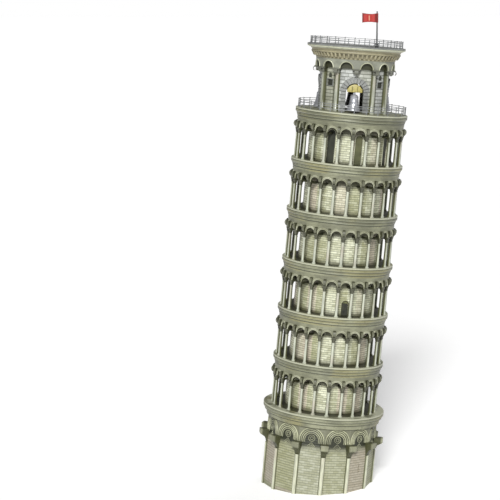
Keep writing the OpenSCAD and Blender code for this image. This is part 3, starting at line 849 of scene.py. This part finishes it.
def mix_paints():
    """Every finish of the model, by name."""
    PAINTS.update(
        gallery_wall=paint_gallery_wall(),
        base_wall=paint_base_wall(),
        belfry_wall=paint_belfry_wall(),
        cornice=paint_cornice(),
        tan_cornice=paint_tan_cornice(),
        roof=paint_roof(),
        wood=paint_wood(),
        flag=paint_flag(),
        gallery_door=paint_gallery_door(),
        board=paint_stone("board_core", BOARD, BOARD_EDGE, 0.8),
    )
    # Columns: painted shade on the flanks and back, further in than the ring
    for key, pale, lean, ring_mm in (
        ("column", ink("column"), ON_TOWER, 44.2),
        ("base_column", ink("cream"), ON_TOWER, 47.2),
        ("belfry_column", ink("column", 0.8), ON_BELFRY, 30.9),
    ):
        PAINTS[key] = paint_column(key + "_card", pale, lean, ring_mm * MM)
    shade_olive = ink("olive", 0.28)
    # Shapes that look out: pale face, painted shade for the recess, frame, and the ring between the two with
    # its width
    for key, light, deep, lean, ring_mm, width_mm in (
        ("arcade", ink("stone", 0.85), shade_olive, ON_TOWER, 44.1, 0.5),
        # The capital and the curl take darker shares of the stone than the arcade: painted shade under the
        # arches
        ("capital", ink("stone", 0.36), shade_olive, ON_TOWER, 44.6, 0.8),
        ("curl", ink("stone", 0.55), shade_olive, ON_TOWER, 46.4, 1.2),
        ("base_capital", ink("stone"), ink("olive", 0.5), ON_TOWER, 51.6, 1.6),
        ("belfry_arcade", BELFRY_ARCADE, shade_olive, ON_BELFRY, 31.6, 0.6),
        ("belfry_capital", BELFRY_CAPITAL, shade_olive, ON_BELFRY, 31.5, 1.5),
    ):
        PAINTS[key] = paint_stone(key + "_print", light, shade(light, 0.65), 0.45, 0.4 / 0.65,
                                  (deep, lean, ring_mm * MM, width_mm * MM))
    for key, light, dark, rough in (
        ("dentil", ink("tan", 1.15), ink("tan", 0.7), 0.5),
        ("roll", ink("cream", 1.05), ink("stone", 1.15), 0.4),
        ("base_arch", ink("stone", 1.5), ink("stone", 0.9), 0.4),
        ("rosette", ink("stone", 1.5), ink("stone", 0.7), 0.4),
        ("voussoir", ink("grey", 1.5), ink("grey", 0.95), 0.5),
        # Painted shade for doorways, windows and niches
        ("door", ink("dark", 2.0), ink("dark"), 0.6),
        ("niche", ink("olive", 0.9), ink("olive", 0.5), 0.6),
    ):
        PAINTS[key] = paint_stone(key + "_print", light, dark, rough)
    for key, name, colour, rough, metal in (
        ("wire", "railing_wire", ink("wire"), 0.45, 0.4),
        ("pole", "pole_wire", ink("wire", 0.4), 0.4, 0.4),
        ("bell", "bell_metal", ink("silver"), 0.38, 0.55),
        ("strap", "strap_iron", ink("gold", 0.55), 0.45, 0.3),
    ):
        PAINTS[key] = paint_metal(name, colour, rough, metal)


# ---------------------------------------------------------------- operators


class TOWER_OT_paints(bpy.types.Operator):
    """Mix every finish and dress the CAD pieces that stay as they are"""

    bl_idname = "tower.paints"
    bl_label = "Finishes"

    def execute(self, context):
        mix_paints()
        dressed = {"foot_plate": "board", "base_wall": "base_wall", "belfry_wall": "belfry_wall",
                   "flag_socket": "pole", "base_columns": "base_column"}
        dressed.update((node, "board") for node in frame["nodes"] if node.endswith("core"))
        dressed.update((f"gallery_{k}_wall", "gallery_wall") for k in GALLERIES)
        for node, paint in dressed.items():
            slots = frame["nodes"][node].data.materials
            slots.clear()
            slots.append(PAINTS[paint])
        return {"FINISHED"}


class TOWER_OT_cornices(bpy.types.Operator):
    """Turn the moulded cornice of every storey"""

    bl_idname = "tower.cornices"
    bl_label = "Cornices"

    def execute(self, context):
        h = GALLERY_H - CORNICE_LOW
        r_in = WALL_R - 1.2 * MM
        ring = self.moulding(r_in, CORNICE_R, h)
        whole_disc = self.moulding(0, CORNICE_R, h)
        for k in GALLERIES:
            template = whole_disc if k == len(GALLERIES) else ring
            name = f"gallery_{k}_cornice"
            placed(template, name + "_moulding", on_gallery(k) @ lifted(CORNICE_LOW), "cornice",
                   "cornice_card", name, 20)
        bpy.data.objects.remove(ring)
        bpy.data.objects.remove(whole_disc)
        base = self.moulding(r_in, BASE_CORNICE_R, DECK_1 - SHOULDER_Z)
        self.step_in(base)
        settle(base, "base_cornice_moulding", ON_TOWER @ lifted(SHOULDER_Z), "cornice", "cornice_card",
               "base_cornice", 20)
        return {"FINISHED"}

    def moulding(self, r_in, r, h):
        """Fillets and coves of a cornice, from its foot up."""
        foot = [(r_in, 0), (r - 2.0 * MM, 0)]
        return lathe(foot + stepped(r, h, CORNICE_STEPS) + [(r_in, h), (r_in, 0)])

    def step_in(self, obj):
        """Draws the foot of the base cornice in, under its slab."""
        foot_h = 3.2 * MM
        for v in obj.data.vertices:
            r = math.hypot(v.co.x, v.co.y)
            if v.co.z < foot_h and r > WALL_R + 2 * MM:
                share = (r - 1.3 * MM) / r
                v.co.x *= share
                v.co.y *= share


class TOWER_OT_columns(bpy.types.Operator):
    """Turn the free columns of the galleries"""

    bl_idname = "tower.columns"
    bl_label = "Gallery columns"

    def execute(self, context):
        s = context.scene.tower_gallery
        r = s.shaft_r
        h = COLUMN_H
        column = lathe([
            (0, 0), *stepped(r, 0, COLUMN_FOOT), (r * 1.02, h * 0.35), (r * 0.92, h - 1.3 * MM),
            *stepped(r, h, ((0.2, -1.1), (0.2, -0.75))), (r * 0.95, h - 0.6 * MM), (r * 0.95, h), (0, h),
        ], 16, (0, -s.ring_r))
        ring_of(column, s.bays, s.turn)
        for k in GALLERIES:
            name = f"gallery_{k}_columns"
            placed(column, name + "_turned", on_gallery(k), "column", "column_card", name, 50)
        bpy.data.objects.remove(column)
        return {"FINISHED"}


class TOWER_OT_capitals(bpy.types.Operator):
    """Shape the gallery capitals and their lintels"""

    bl_idname = "tower.capitals"
    bl_label = "Gallery capitals"

    def execute(self, context):
        s = context.scene.tower_gallery
        h = SPRING_Z - COLUMN_H
        r = s.shaft_r
        abacus = 1.3 * MM
        top = h - abacus
        reach = s.ring_r - WALL_R
        capital = join([
            lathe([
                (0, 0), (r * 0.95, 0), *stepped(r, 0, CAPITAL_FOOT),
                *stepped(r, top, ((0.7, -0.3), (0.45, 0))), (0, top),
            ], 12, (0, -s.ring_r)),
            block((3.7 * MM, 4.0 * MM, abacus), (0, -s.ring_r, h - abacus / 2), 0.25 * MM),
            block((2.4 * MM, 3.4 * MM, 0.6 * MM), (0, -s.ring_r, top - 0.25 * MM), 0.15 * MM),
            block((2.1 * MM, reach, 1.7 * MM), (0, -(WALL_R + reach / 2), h - 0.86 * MM), 0.2 * MM),
        ])
        ring_of(capital, s.bays, s.turn)
        for k in GALLERIES:
            name = f"gallery_{k}_capitals"
            placed(capital, name + "_carved", on_gallery(k) @ lifted(COLUMN_H), "capital", "capital_card",
                   name, 40)
        bpy.data.objects.remove(capital)
        return {"FINISHED"}


class TOWER_OT_arcades(bpy.types.Operator):
    """Cut the round-arched rings of the galleries, with their rolls and curled springers"""

    bl_idname = "tower.arcades"
    bl_label = "Gallery arcades"

    def execute(self, context):
        s = context.scene.tower_gallery
        h = CORNICE_LOW - SPRING_Z
        r_out = s.ring_r + s.arcade_t / 2
        r_in = r_out - s.arcade_t
        face_r = r_out + 0.05 * MM
        mid_bay = s.turn + math.pi / s.bays
        ring = lathe([
            (r_in, 0), (r_out - 0.1 * MM, 0), *stepped(r_out, h, ((-0.1, -1.3), (0.25, -1.1), (0.25, 0))),
            (r_in, h), (r_in, 0),
        ], s.bays * 6)
        cut_out(ring, ring_of(front_bar(s.arch_r, r_in - MM, r_out + MM, 0), s.bays, mid_bay))
        rolls = join([
            arch_roll(s.arch_r + s.roll_r * 0.8, s.roll_r, face_r, 0, 0, 20, 6),
            arch_roll(s.arch_r + 1.15 * MM, s.roll_r * 0.9, face_r, 0, 0, 20, 6),
        ])
        wrap_round(rolls, r_out)
        ring_of(rolls, s.bays, mid_bay)
        curl_z = s.curl_r + 0.4 * MM
        curls = join([
            curl(s.curl_r, s.curl_w, 0.55 * MM, r_out + 0.1 * MM, curl_z, -150, -285),
            bar(s.curl_r - 0.35 * MM, s.curl_w * 0.7, (0, -(r_out + 0.1 * MM), curl_z), SIDEWAYS, 14),
        ])
        ring_of(curls, s.bays, s.turn)
        for k in GALLERIES:
            name = f"gallery_{k}_arcade"
            place = on_gallery(k) @ lifted(SPRING_Z)
            placed(ring, name + "_ring", place, "arcade", "arcade_card", name, 35)
            placed(rolls, name + "_rolls", place, "roll", "arcade_card", smooth=60)
            placed(curls, name + "_curls", place, "curl", "arcade_card", smooth=60)
        for template in (ring, rolls, curls):
            bpy.data.objects.remove(template)
        return {"FINISHED"}


class TOWER_OT_base(bpy.types.Operator):
    """Model the capitals and the blind arches of the base"""

    bl_idname = "tower.base"
    bl_label = "Base storey"

    def execute(self, context):
        s = context.scene.tower_base
        self.capitals(s)
        self.arches(s)
        return {"FINISHED"}

    def capitals(self, s):
        low = BASE_CAPITAL_LOW.z
        high = BASE_CAPITAL_HIGH.z
        reach = BASE_CAPITAL_HIGH.y - s.flat_r
        middle = -(s.flat_r + reach / 2)
        head = block((s.block_w, reach, s.block_h), (0, middle, high - s.block_h / 2))
        edit_all()
        bpy.ops.mesh.select_all(action="DESELECT")
        leave_edit()
        for face in head.data.polygons:
            face.select = face.normal.z < -0.9
        bpy.ops.object.mode_set(mode="EDIT")
        drop = (high - s.block_h - low) / 3
        for width, depth in ((0.8, 0.5), (0.9, 0.6), (0.95, 0.7)):
            bpy.ops.mesh.extrude_region_move(TRANSFORM_OT_translate={"value": (0, 0, -drop)})
            bpy.ops.transform.resize(value=(width, depth, 1), center_override=(0, -s.flat_r, 0))
        leave_edit()
        soften(0.35 * MM, 2)
        # Slab and bead: how much wider, how much shallower, height, centre and softening
        parts = [head]
        for wide, shallow, tall, z, edge in (
            (0.5 * MM, 0.1 * MM, 1.1 * MM, high - 0.65 * MM, 0.25 * MM),
            (0.2 * MM, 0.4 * MM, 0.7 * MM, high - s.block_h + 0.5 * MM, 0.3 * MM),
        ):
            parts.append(block((s.block_w + wide, reach - shallow, tall), (0, middle, z), edge))
        capital = join(parts)
        ring_of(capital, s.bays, s.turn)
        settle(capital, "base_capitals_carved", ON_TOWER, "base_capital", "capital_card", "base_capitals")

    def arches(self, s):
        r = s.flat_r
        legs = s.arch_z - BASE_CAPITAL_HIGH.z
        rolls = join([
            arch_roll(s.arch_r - inset * MM, minor * MM, r + proud * MM, s.arch_z, legs, steps)
            for inset, minor, proud, steps in BASE_ROLLS
        ])
        roundels = join([
            roll(major * MM, minor * MM, (0, -r, s.arch_z + lift * MM), around=steps, across=6)
            for major, minor, lift, steps in BASE_ROUNDELS
        ])
        for obj in (rolls, roundels):
            ring_of(obj, s.bays, s.turn + math.pi / s.bays)
        settle(rolls, "base_arch_rolls", ON_TOWER, "base_arch", "arcade_card", "base_arches", 60)
        settle(roundels, "base_roundels", ON_TOWER, "rosette", "arcade_card", smooth=60)


class TOWER_OT_doorways(bpy.types.Operator):
    """Line the doorways of the galleries with frames and dark panels of painted shade"""

    bl_idname = "tower.doorways"
    bl_label = "Doorways"

    def execute(self, context):
        trim = 0.35 * MM
        for number, (k, angle, width, height, finish, edge) in enumerate(DOORWAYS, 1):
            r = width * MM / 2
            spring = height * MM - r
            centre = (0, -(WALL_R - 0.9 * MM), spring / 2)
            # A dark panel of painted shade inside the opening, with a round head
            leaf = block((width * MM - trim, 0.5 * MM, spring), centre, 0.1 * MM)
            head = front_bar(r - trim, WALL_R - 1.15 * MM, WALL_R - 0.65 * MM, spring)
            keep_above(spring)
            leaf = join([leaf, head])
            outline = arch_roll(r + 0.3 * MM, 0.35 * MM, WALL_R, spring, spring)
            wrap_round(outline, WALL_R)
            place = on_gallery(k) @ turned(math.radians(angle))
            for obj, name, paint in ((leaf, "leaf", finish), (outline, "frame", edge)):
                settle(obj, f"doorway_{number}_{name}", place, paint, "stone_print", smooth=40)
        return {"FINISHED"}


class TOWER_OT_belfry(bpy.types.Operator):
    """Model the belfry: half columns, capitals, blind arcade, bell arches, cornice and roof"""

    bl_idname = "tower.belfry"
    bl_label = "Belfry"

    def execute(self, context):
        s = context.scene.tower_belfry
        self.columns(s)
        self.capitals(s)
        self.arcade(s)
        self.surrounds(s)
        self.windows()
        self.cornice(s)
        return {"FINISHED"}

    def columns(self, s):
        r = s.column_r
        h = BELFRY_COLUMN_H
        column = lathe([
            (0, -0.4 * MM), *stepped(r, 0, BELFRY_COLUMN_FOOT), (r, h * 0.4), (r * 0.93, h - 1.4 * MM),
            *stepped(r, h, ((0.2, -1.2), (0.2, -0.8))), (r * 0.95, h - 0.6 * MM), (r * 0.95, h), (0, h),
        ], 20, (0, -(BELFRY_WALL_R + 0.1 * MM)))
        ring_of(column, s.bays)
        self.drop_every_third(column)
        settle(column, "belfry_columns_turned", ON_BELFRY, "belfry_column", "column_card",
               "belfry_columns", 50)

    def drop_every_third(self, obj):
        """Leaves out the columns in the middle of the four bell bays."""
        column_reach = 12
        for v in obj.data.vertices:
            angle = math.degrees(math.atan2(v.co.x, -v.co.y)) % 90
            v.select = min(angle, 90 - angle) < column_reach
        for part in (*obj.data.edges, *obj.data.polygons):
            part.select = all(obj.data.vertices[i].select for i in part.vertices)
        pick(obj)
        bpy.ops.object.mode_set(mode="EDIT")
        bpy.ops.mesh.delete(type="VERT")
        leave_edit()

    def capitals(self, s):
        h = BELFRY_SPRING_Z - BELFRY_COLUMN_H
        r = BELFRY_WALL_R
        slab_h = 1.3 * MM
        body_h = h - slab_h
        capital = join([
            block((6.2 * MM, 4.8 * MM, slab_h), (0, -(r + 2.4 * MM), h - slab_h / 2), 0.25 * MM),
            block((5.0 * MM, 3.4 * MM, body_h), (0, -(r + 1.7 * MM), body_h / 2), 0.5 * MM, 2),
            curl(1.9 * MM, 3.0 * MM, 0.5 * MM, s.band_r - 0.1 * MM, 1.6 * MM, -140, -280),
        ])
        ring_of(capital, s.bays)
        settle(capital, "belfry_capitals_carved", ON_BELFRY @ lifted(BELFRY_COLUMN_H), "belfry_capital",
               "capital_card", "belfry_capitals", 40)

    def arcade(self, s):
        r = BELFRY_WALL_R
        h = BELFRY_CORNICE_Z - BELFRY_SPRING_Z
        half_bay = math.pi / s.bays
        band = lathe([(r, 0), (s.band_r, 0), (s.band_r, h), (r, h), (r, 0)], s.bays * 12)
        tool = front_bar(s.arch_r, r + 0.6 * MM, s.band_r + MM, 0, 48)
        cut_out(band, ring_of(tool, s.bays, half_bay))
        rolls = arch_roll(s.arch_r + 0.35 * MM, 0.42 * MM, s.band_r, 0, 0, 32)
        wrap_round(rolls, s.band_r)
        ring_of(rolls, s.bays, half_bay)
        place = ON_BELFRY @ lifted(BELFRY_SPRING_Z)
        settle(band, "belfry_arcade_band", place, "belfry_arcade", "arcade_card", "belfry_arcade")
        settle(rolls, "belfry_arcade_rolls", place, "roll", "arcade_card", smooth=60)

    def surrounds(self, s):
        """Separate stones round each bell opening: wedges above, blocks below."""
        r = BELFRY_WALL_R
        proud = SURROUND_R - r
        depth = -(r + proud / 2)
        middle = s.opening_r + s.surround_w / 2
        step = math.pi / s.voussoirs
        stones = []
        for number in range(s.voussoirs):
            wedge = block((s.surround_w, proud, middle * step - 0.35 * MM), (middle, depth, 0))
            for v in wedge.data.vertices:
                v.co.z *= v.co.x / middle
            soften(0.2 * MM)
            wedge.rotation_euler.y = -(number + 0.5) * step
            wedge.location.z = s.spring_z
            bake_place()
            stones.append(wedge)
        rows = 6
        row_h = s.spring_z / rows
        for side in (-1, 1):
            for row in range(rows):
                w = s.surround_w - (0.9 * MM if row % 2 else 0)
                centre = (side * (s.opening_r + w / 2), depth, (row + 0.5) * row_h)
                stones.append(block((w, proud, row_h - 0.3 * MM), centre, 0.2 * MM))
        arch = join(stones)
        wrap_round(arch, r)
        ring_of(arch, len(SIDES))
        settle(arch, "bell_surround_stones", ON_BELFRY, "voussoir", "voussoir_card", "bell_surrounds")

    def windows(self):
        """Frames and dark panels of painted shade in the four small windows, with a blind arch over each."""
        r = BELFRY_WALL_R
        z = 23.5 * MM
        # Painted shade: dark panels in the windows and in the small arch over each
        dark = join([
            block((6.6 * MM, 0.6 * MM, 5.2 * MM), (0, -(r - 1.2 * MM), z), 0.1 * MM),
            front_bar(1.5 * MM, r - 0.4 * MM, r + 0.12 * MM, z + 6.4 * MM, 24),
            block((3.0 * MM, 0.52 * MM, 2.6 * MM), (0, -(r - 0.14 * MM), z + 5.2 * MM)),
        ])
        bars = []
        depth = -(r + 0.1 * MM)
        for side in (-1, 1):
            bars.append(block((0.6 * MM, 0.9 * MM, 6.0 * MM), (side * 3.4 * MM, depth, z), 0.15 * MM))
            bars.append(block((7.2 * MM, 0.9 * MM, 0.6 * MM), (0, depth, z + side * 2.7 * MM), 0.15 * MM))
        for obj, name, paint in ((dark, "panes", "door"), (join(bars), "frames", "voussoir")):
            wrap_round(obj, r)
            ring_of(obj, len(SIDES), math.pi / len(SIDES))
            settle(obj, "belfry_window_" + name, ON_BELFRY, paint, "stone_print")

    def cornice(self, s):
        place = ON_BELFRY @ lifted(BELFRY_CORNICE_Z)
        h = ROOF_LOW.z - BELFRY_CORNICE_Z
        tooth_h = h - 3.2 * MM
        r_cove = ROOF_HIGH.y - 3.7 * MM
        r_foot = s.band_r + 0.1 * MM
        body = lathe([
            (0, 0), *stepped(r_foot, 0, ((0, 0), (0.3, 0.3), (0.3, 0.8), (0, 1.0), (0.5, 2.2))),
            *stepped(r_cove, tooth_h, ((-1.6, -0.2), (-1.6, 0), (0, 0), (0.1, 0.4), (-0.35, 0.9))),
            *stepped(r_cove, h, ((-0.45, -1.7), (-0.1, -0.9), (0.5, -0.5), (0.6, 0))), (0, h),
        ])
        settle(body, "belfry_cornice_moulding", place, "tan_cornice", "tan_cornice", "belfry_cornice", 20)
        middle = -(r_foot + 1.0 * MM)
        tooth = block((1.5 * MM, 2.0 * MM, tooth_h - 1.4 * MM), (0, middle, tooth_h / 2 + 0.7 * MM))
        flare = r_cove - 0.2 * MM - (r_foot + 2.0 * MM)
        for v in tooth.data.vertices:
            share = (v.co.z / tooth_h) ** 1.5
            v.co.y -= flare * share if v.co.y < middle else 0.9 * flare * share
        soften(0.18 * MM)
        ring_of(tooth, s.dentils)
        settle(tooth, "belfry_dentil_row", place, "dentil", "tan_cornice", "belfry_dentils")
        r = ROOF_HIGH.y - 0.04 * MM
        t = ROOF_HIGH.z - ROOF_LOW.z
        slab = lathe([
            (0, 0), *stepped(r, 0, ROOF_FOOT), *stepped(r, t, ((0, -0.4), (-0.4, 0))), (0, t),
        ])
        settle(slab, "roof_slab_moulding", ON_BELFRY @ lifted(ROOF_LOW.z), "roof", "roof_card",
               "roof_slab", 20)


class TOWER_OT_railings(bpy.types.Operator):
    """Bend the wire railings of the terrace and the roof"""

    bl_idname = "tower.railings"
    bl_label = "Railings"

    def execute(self, context):
        s = context.scene.tower_rails
        self.railing(s, "terrace_railing", ON_TOWER @ lifted(TERRACE_Z))
        self.railing(s, "roof_railing", ON_BELFRY @ lifted(ROOF_HIGH.z))
        return {"FINISHED"}

    def railing(self, s, node, place):
        high = extents(node, place)[1]
        r = high.y - 0.5 * MM
        h = high.z
        # Shares of the post's radius, at heights from the foot up
        post = lathe([(s.post_r * share, z) for share, z in (
            (0, 0), (1.8, 0), (1.8, 0.35 * MM), (1, 0.55 * MM), (0.85, h - 0.9 * MM),
            (1.5, h - 0.55 * MM), (1.3, h - 0.2 * MM), (0, h),
        )], 8, (0, -r))
        ring_of(post, s.posts)
        rails = join([
            roll(r, s.rail_r, (0, 0, h * share), (0, 0, 0), 112, 6) for share in (0.35, 0.66, 0.9)
        ])
        settle(post, node + "_posts", place, "wire", "railing_wire", node, 50)
        settle(rails, node + "_rails", place, "wire", "railing_wire", smooth=60)


class TOWER_OT_bells(bpy.types.Operator):
    """Turn the bells and shape their headstocks"""

    bl_idname = "tower.bells"
    bl_label = "Bells"

    def execute(self, context):
        s = context.scene.tower_bells
        for index, side in enumerate(SIDES):
            body = side + "_bell"
            joint = next(j for j in frame["joints"] if j["name"] == body + "_swing")
            pin = ON_BELFRY.inverted() @ Vector(joint["pos_m"])
            centre_r = math.hypot(pin.x, pin.y)
            place = ON_BELFRY @ turned(index * math.pi / 2)
            bell = self.bell(s, centre_r)
            wood, straps = self.yoke(s, centre_r, pin.z)
            settle(bell, body + "_turned", place, "bell", "bell_metal", body, 40, body)
            settle(wood, side + "_headstock_wood", place, "wood", "yoke_wood", side + "_headstock", 35, body)
            settle(straps, side + "_headstock_straps", place, "strap", "yoke_wood", body=body)
        return {"FINISHED"}

    def bell(self, s, centre_r):
        """A bell with a solid mouth, and the crown of loops on its head."""
        r = s.mouth_r
        z = s.gap
        h = s.top_z - 1.8 * MM - z
        lip, side = [
            [(r * out, z + h * up) for out, up in shares] for shares in (BELL_LIP, BELL_SIDE)
        ]
        parts = [lathe(lip + [(r, z + 0.4 * MM)] + side, 32, (0, -centre_r))]
        for angle in (0, 60, 120):
            turn = (math.pi / 2, 0, math.radians(angle))
            parts.append(roll(0.95 * MM, 0.28 * MM, (0, -centre_r, z + h + 0.75 * MM), turn, 16, 6))
        return join(parts)

    def yoke(self, s, centre_r, pin_z):
        """The half-round headstock, then its two straps and pins."""
        spring = bpy.context.scene.tower_belfry.spring_z
        wood = front_bar(s.yoke_r, centre_r - s.yoke_t / 2, centre_r + s.yoke_t / 2, spring, 48)
        keep_above(spring - 0.2 * MM)
        soften(0.35 * MM, 2)
        reach = 3.0 * MM
        iron = []
        for side in (-1, 1):
            iron.append(block((0.8 * MM, s.yoke_t + 0.3 * MM, 4.6 * MM),
                              (side * 2.2 * MM, -centre_r, spring + 2.3 * MM), 0.12 * MM))
            end = side * (s.yoke_r + 2.0 * MM - reach / 2)
            iron.append(bar(s.pin_r, reach, (end, -centre_r, pin_z), SIDEWAYS))
            soften(0.1 * MM)
        return wood, join(iron)


class TOWER_OT_flag(bpy.types.Operator):
    """Make the flagpole and the waved flag"""

    bl_idname = "tower.flag"
    bl_label = "Flag"

    def execute(self, context):
        s = context.scene.tower_flag
        low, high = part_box("flagpole")
        at = ((low.x + high.x) / 2, (low.y + high.y) / 2)
        r = s.pole_r
        top = high.z
        tip = ((0.8, 1.2), (0.6, 1.1), (0.98, 0.8), (0.95, 0.4), (0.5, 0.1))
        pole = lathe([
            (0, low.z), (r, low.z), (r, low.z + 8 * MM),
            *[(r * share, top - drop * MM) for share, drop in tip], (0, top),
        ], 16, at)
        upright = Matrix.Identity(4)
        settle(pole, "flagpole_turned", upright, "pole", "pole_wire", "flagpole", 50, "flagstaff")
        settle(self.flag(s, at, r), "flag_card", upright, "flag", "flag_card", "flag", 50, "flagstaff")
        return {"FINISHED"}

    def flag(self, s, at, r):
        """A waved card with a sleeve round the pole."""
        low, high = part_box("flag")
        right = at[0] - r
        width = right - low.x
        height = high.z - low.z
        deselect_all()
        bpy.ops.mesh.primitive_grid_add(
            x_subdivisions=28, y_subdivisions=14, size=1, rotation=FORWARDS,
            location=(right - width / 2, at[1], low.z + height / 2),
        )
        card = bpy.context.object
        card.scale = (width, height, 1)
        bake_place()
        for v in card.data.vertices:
            share = (right - v.co.x) / width
            v.co.y += s.wave * math.sin(share * 2 * math.pi)
            upper = (v.co.z - low.z) / height
            sag = 0.5 * MM * math.sin(share * math.pi) * (1 - upper)
            v.co.z += sag - 0.45 * MM * math.sin(share * 4) * upper
        apply_modifier("SOLIDIFY", thickness=s.thickness, offset=0)
        inner = r * 0.99
        outer = r + 0.33 * MM
        sleeve = lathe([
            (inner, low.z), (outer, low.z), (outer, high.z), (inner, high.z), (inner, low.z),
        ], 20, at)
        return join([card, sleeve])


# Lamps: name, place, softness in degrees and strength
LAMPS = (("key", (-0.13, -1.5, 0.85), 14, 3.8), ("back_fill", (0.9, 1.4, 0.9), 40, 0.5))
FLOOR_GLOW = 0.27
ROOM_LIGHT = 0.16
SENSOR_WIDTH = 36


class TOWER_OT_stage(bpy.types.Operator):
    """Set the pale floor, the soft lights and the camera"""

    bl_idname = "tower.stage"
    bl_label = "Stage"

    def execute(self, context):
        self.floor(tuple(context.scene.tower_stage.floor))
        self.room(context.scene)
        for lamp in LAMPS:
            self.lamp(context, *lamp)
        self.camera(context, context.scene.tower_stage)
        return {"FINISHED"}

    def floor(self, pale):
        floor = made(bpy.ops.mesh.primitive_plane_add, size=80)
        floor.name = "studio_floor"
        paint = Paint("studio_floor")
        colour = paint.blend(paint.noise(2.0) * 0.05, pale, shade(pale, 0.97))
        paint.shader.inputs["Emission Color"].default_value = WHITE
        paint.shader.inputs["Emission Strength"].default_value = FLOOR_GLOW
        floor.data.materials.append(paint.finish(colour, 0.9))

    def room(self, scene):
        """A white room, dim as a light and bright as a backdrop."""
        world = bpy.data.worlds.new("studio")
        world.use_nodes = True
        nodes = world.node_tree.nodes
        links = world.node_tree.links
        room = nodes["Background"]
        room.inputs["Strength"].default_value = ROOM_LIGHT
        backdrop = nodes.new("ShaderNodeBackground")
        sight = nodes.new("ShaderNodeLightPath")
        mix = nodes.new("ShaderNodeMixShader")
        for node in (room, backdrop):
            node.inputs["Color"].default_value = WHITE
        links.new(sight.outputs["Is Camera Ray"], mix.inputs["Fac"])
        links.new(room.outputs[0], mix.inputs[1])
        links.new(backdrop.outputs[0], mix.inputs[2])
        links.new(mix.outputs[0], nodes["World Output"].inputs["Surface"])
        scene.world = world
        scene.view_settings.view_transform = "Standard"

    def lamp(self, context, name, place, softness, strength):
        """A soft lamp that shines from its place towards the origin."""
        light = bpy.data.lights.new(name, "SUN")
        light.angle = math.radians(softness)
        light.energy = strength
        obj = bpy.data.objects.new(name, light)
        obj.location = place
        obj.rotation_euler = obj.location.to_track_quat("Z", "Y").to_euler()
        context.scene.collection.objects.link(obj)

    def camera(self, context, s):
        camera_data = bpy.data.cameras.new("camera")
        camera_data.lens = s.lens
        camera_data.sensor_width = SENSOR_WIDTH
        camera_data.clip_start = 0.05
        camera = bpy.data.objects.new("camera", camera_data)
        camera.location = s.camera_place
        camera.rotation_euler = (math.pi / 2 - s.pitch, 0, s.yaw)
        context.scene.collection.objects.link(camera)
        context.scene.camera = camera


OPERATORS = [
    TOWER_OT_stage, TOWER_OT_paints, TOWER_OT_base, TOWER_OT_cornices, TOWER_OT_columns, TOWER_OT_capitals,
    TOWER_OT_arcades, TOWER_OT_doorways, TOWER_OT_belfry, TOWER_OT_railings, TOWER_OT_bells, TOWER_OT_flag,
]

GROUPS = {
    "tower_base": TowerBaseSizes,
    "tower_gallery": TowerGallerySizes,
    "tower_belfry": TowerBelfrySizes,
    "tower_bells": TowerBellSizes,
    "tower_rails": TowerRailSizes,
    "tower_flag": TowerFlagSizes,
    "tower_paint": TowerPaint,
    "tower_stage": TowerStage,
}


class TOWER_PT_panel(bpy.types.Panel):
    """Buttons for every piece of the tower"""

    bl_idname = "TOWER_PT_panel"
    bl_label = "Bell Tower"
    bl_space_type = "VIEW_3D"
    bl_region_type = "UI"
    bl_category = "Bell Tower"

    def draw(self, context):
        for operator in OPERATORS:
            self.layout.operator(operator.bl_idname)


def register():
    for group in GROUPS.values():
        bpy.utils.register_class(group)
    for name, group in GROUPS.items():
        setattr(bpy.types.Scene, name, bpy.props.PointerProperty(type=group))
    for operator in OPERATORS:
        bpy.utils.register_class(operator)
    bpy.utils.register_class(TOWER_PT_panel)


def unregister():
    bpy.utils.unregister_class(TOWER_PT_panel)
    for operator in reversed(OPERATORS):
        bpy.utils.unregister_class(operator)
    for name in GROUPS:
        delattr(bpy.types.Scene, name)
    for group in reversed(list(GROUPS.values())):
        bpy.utils.unregister_class(group)


def main():
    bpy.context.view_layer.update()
    register()
    bpy.ops.tower.stage()
    bpy.ops.tower.paints()
    bpy.ops.tower.base()
    bpy.ops.tower.cornices()
    bpy.ops.tower.columns()
    bpy.ops.tower.capitals()
    bpy.ops.tower.arcades()
    bpy.ops.tower.doorways()
    bpy.ops.tower.belfry()
    bpy.ops.tower.railings()
    bpy.ops.tower.bells()
    bpy.ops.tower.flag()


if __name__ == "__main__":
    main()
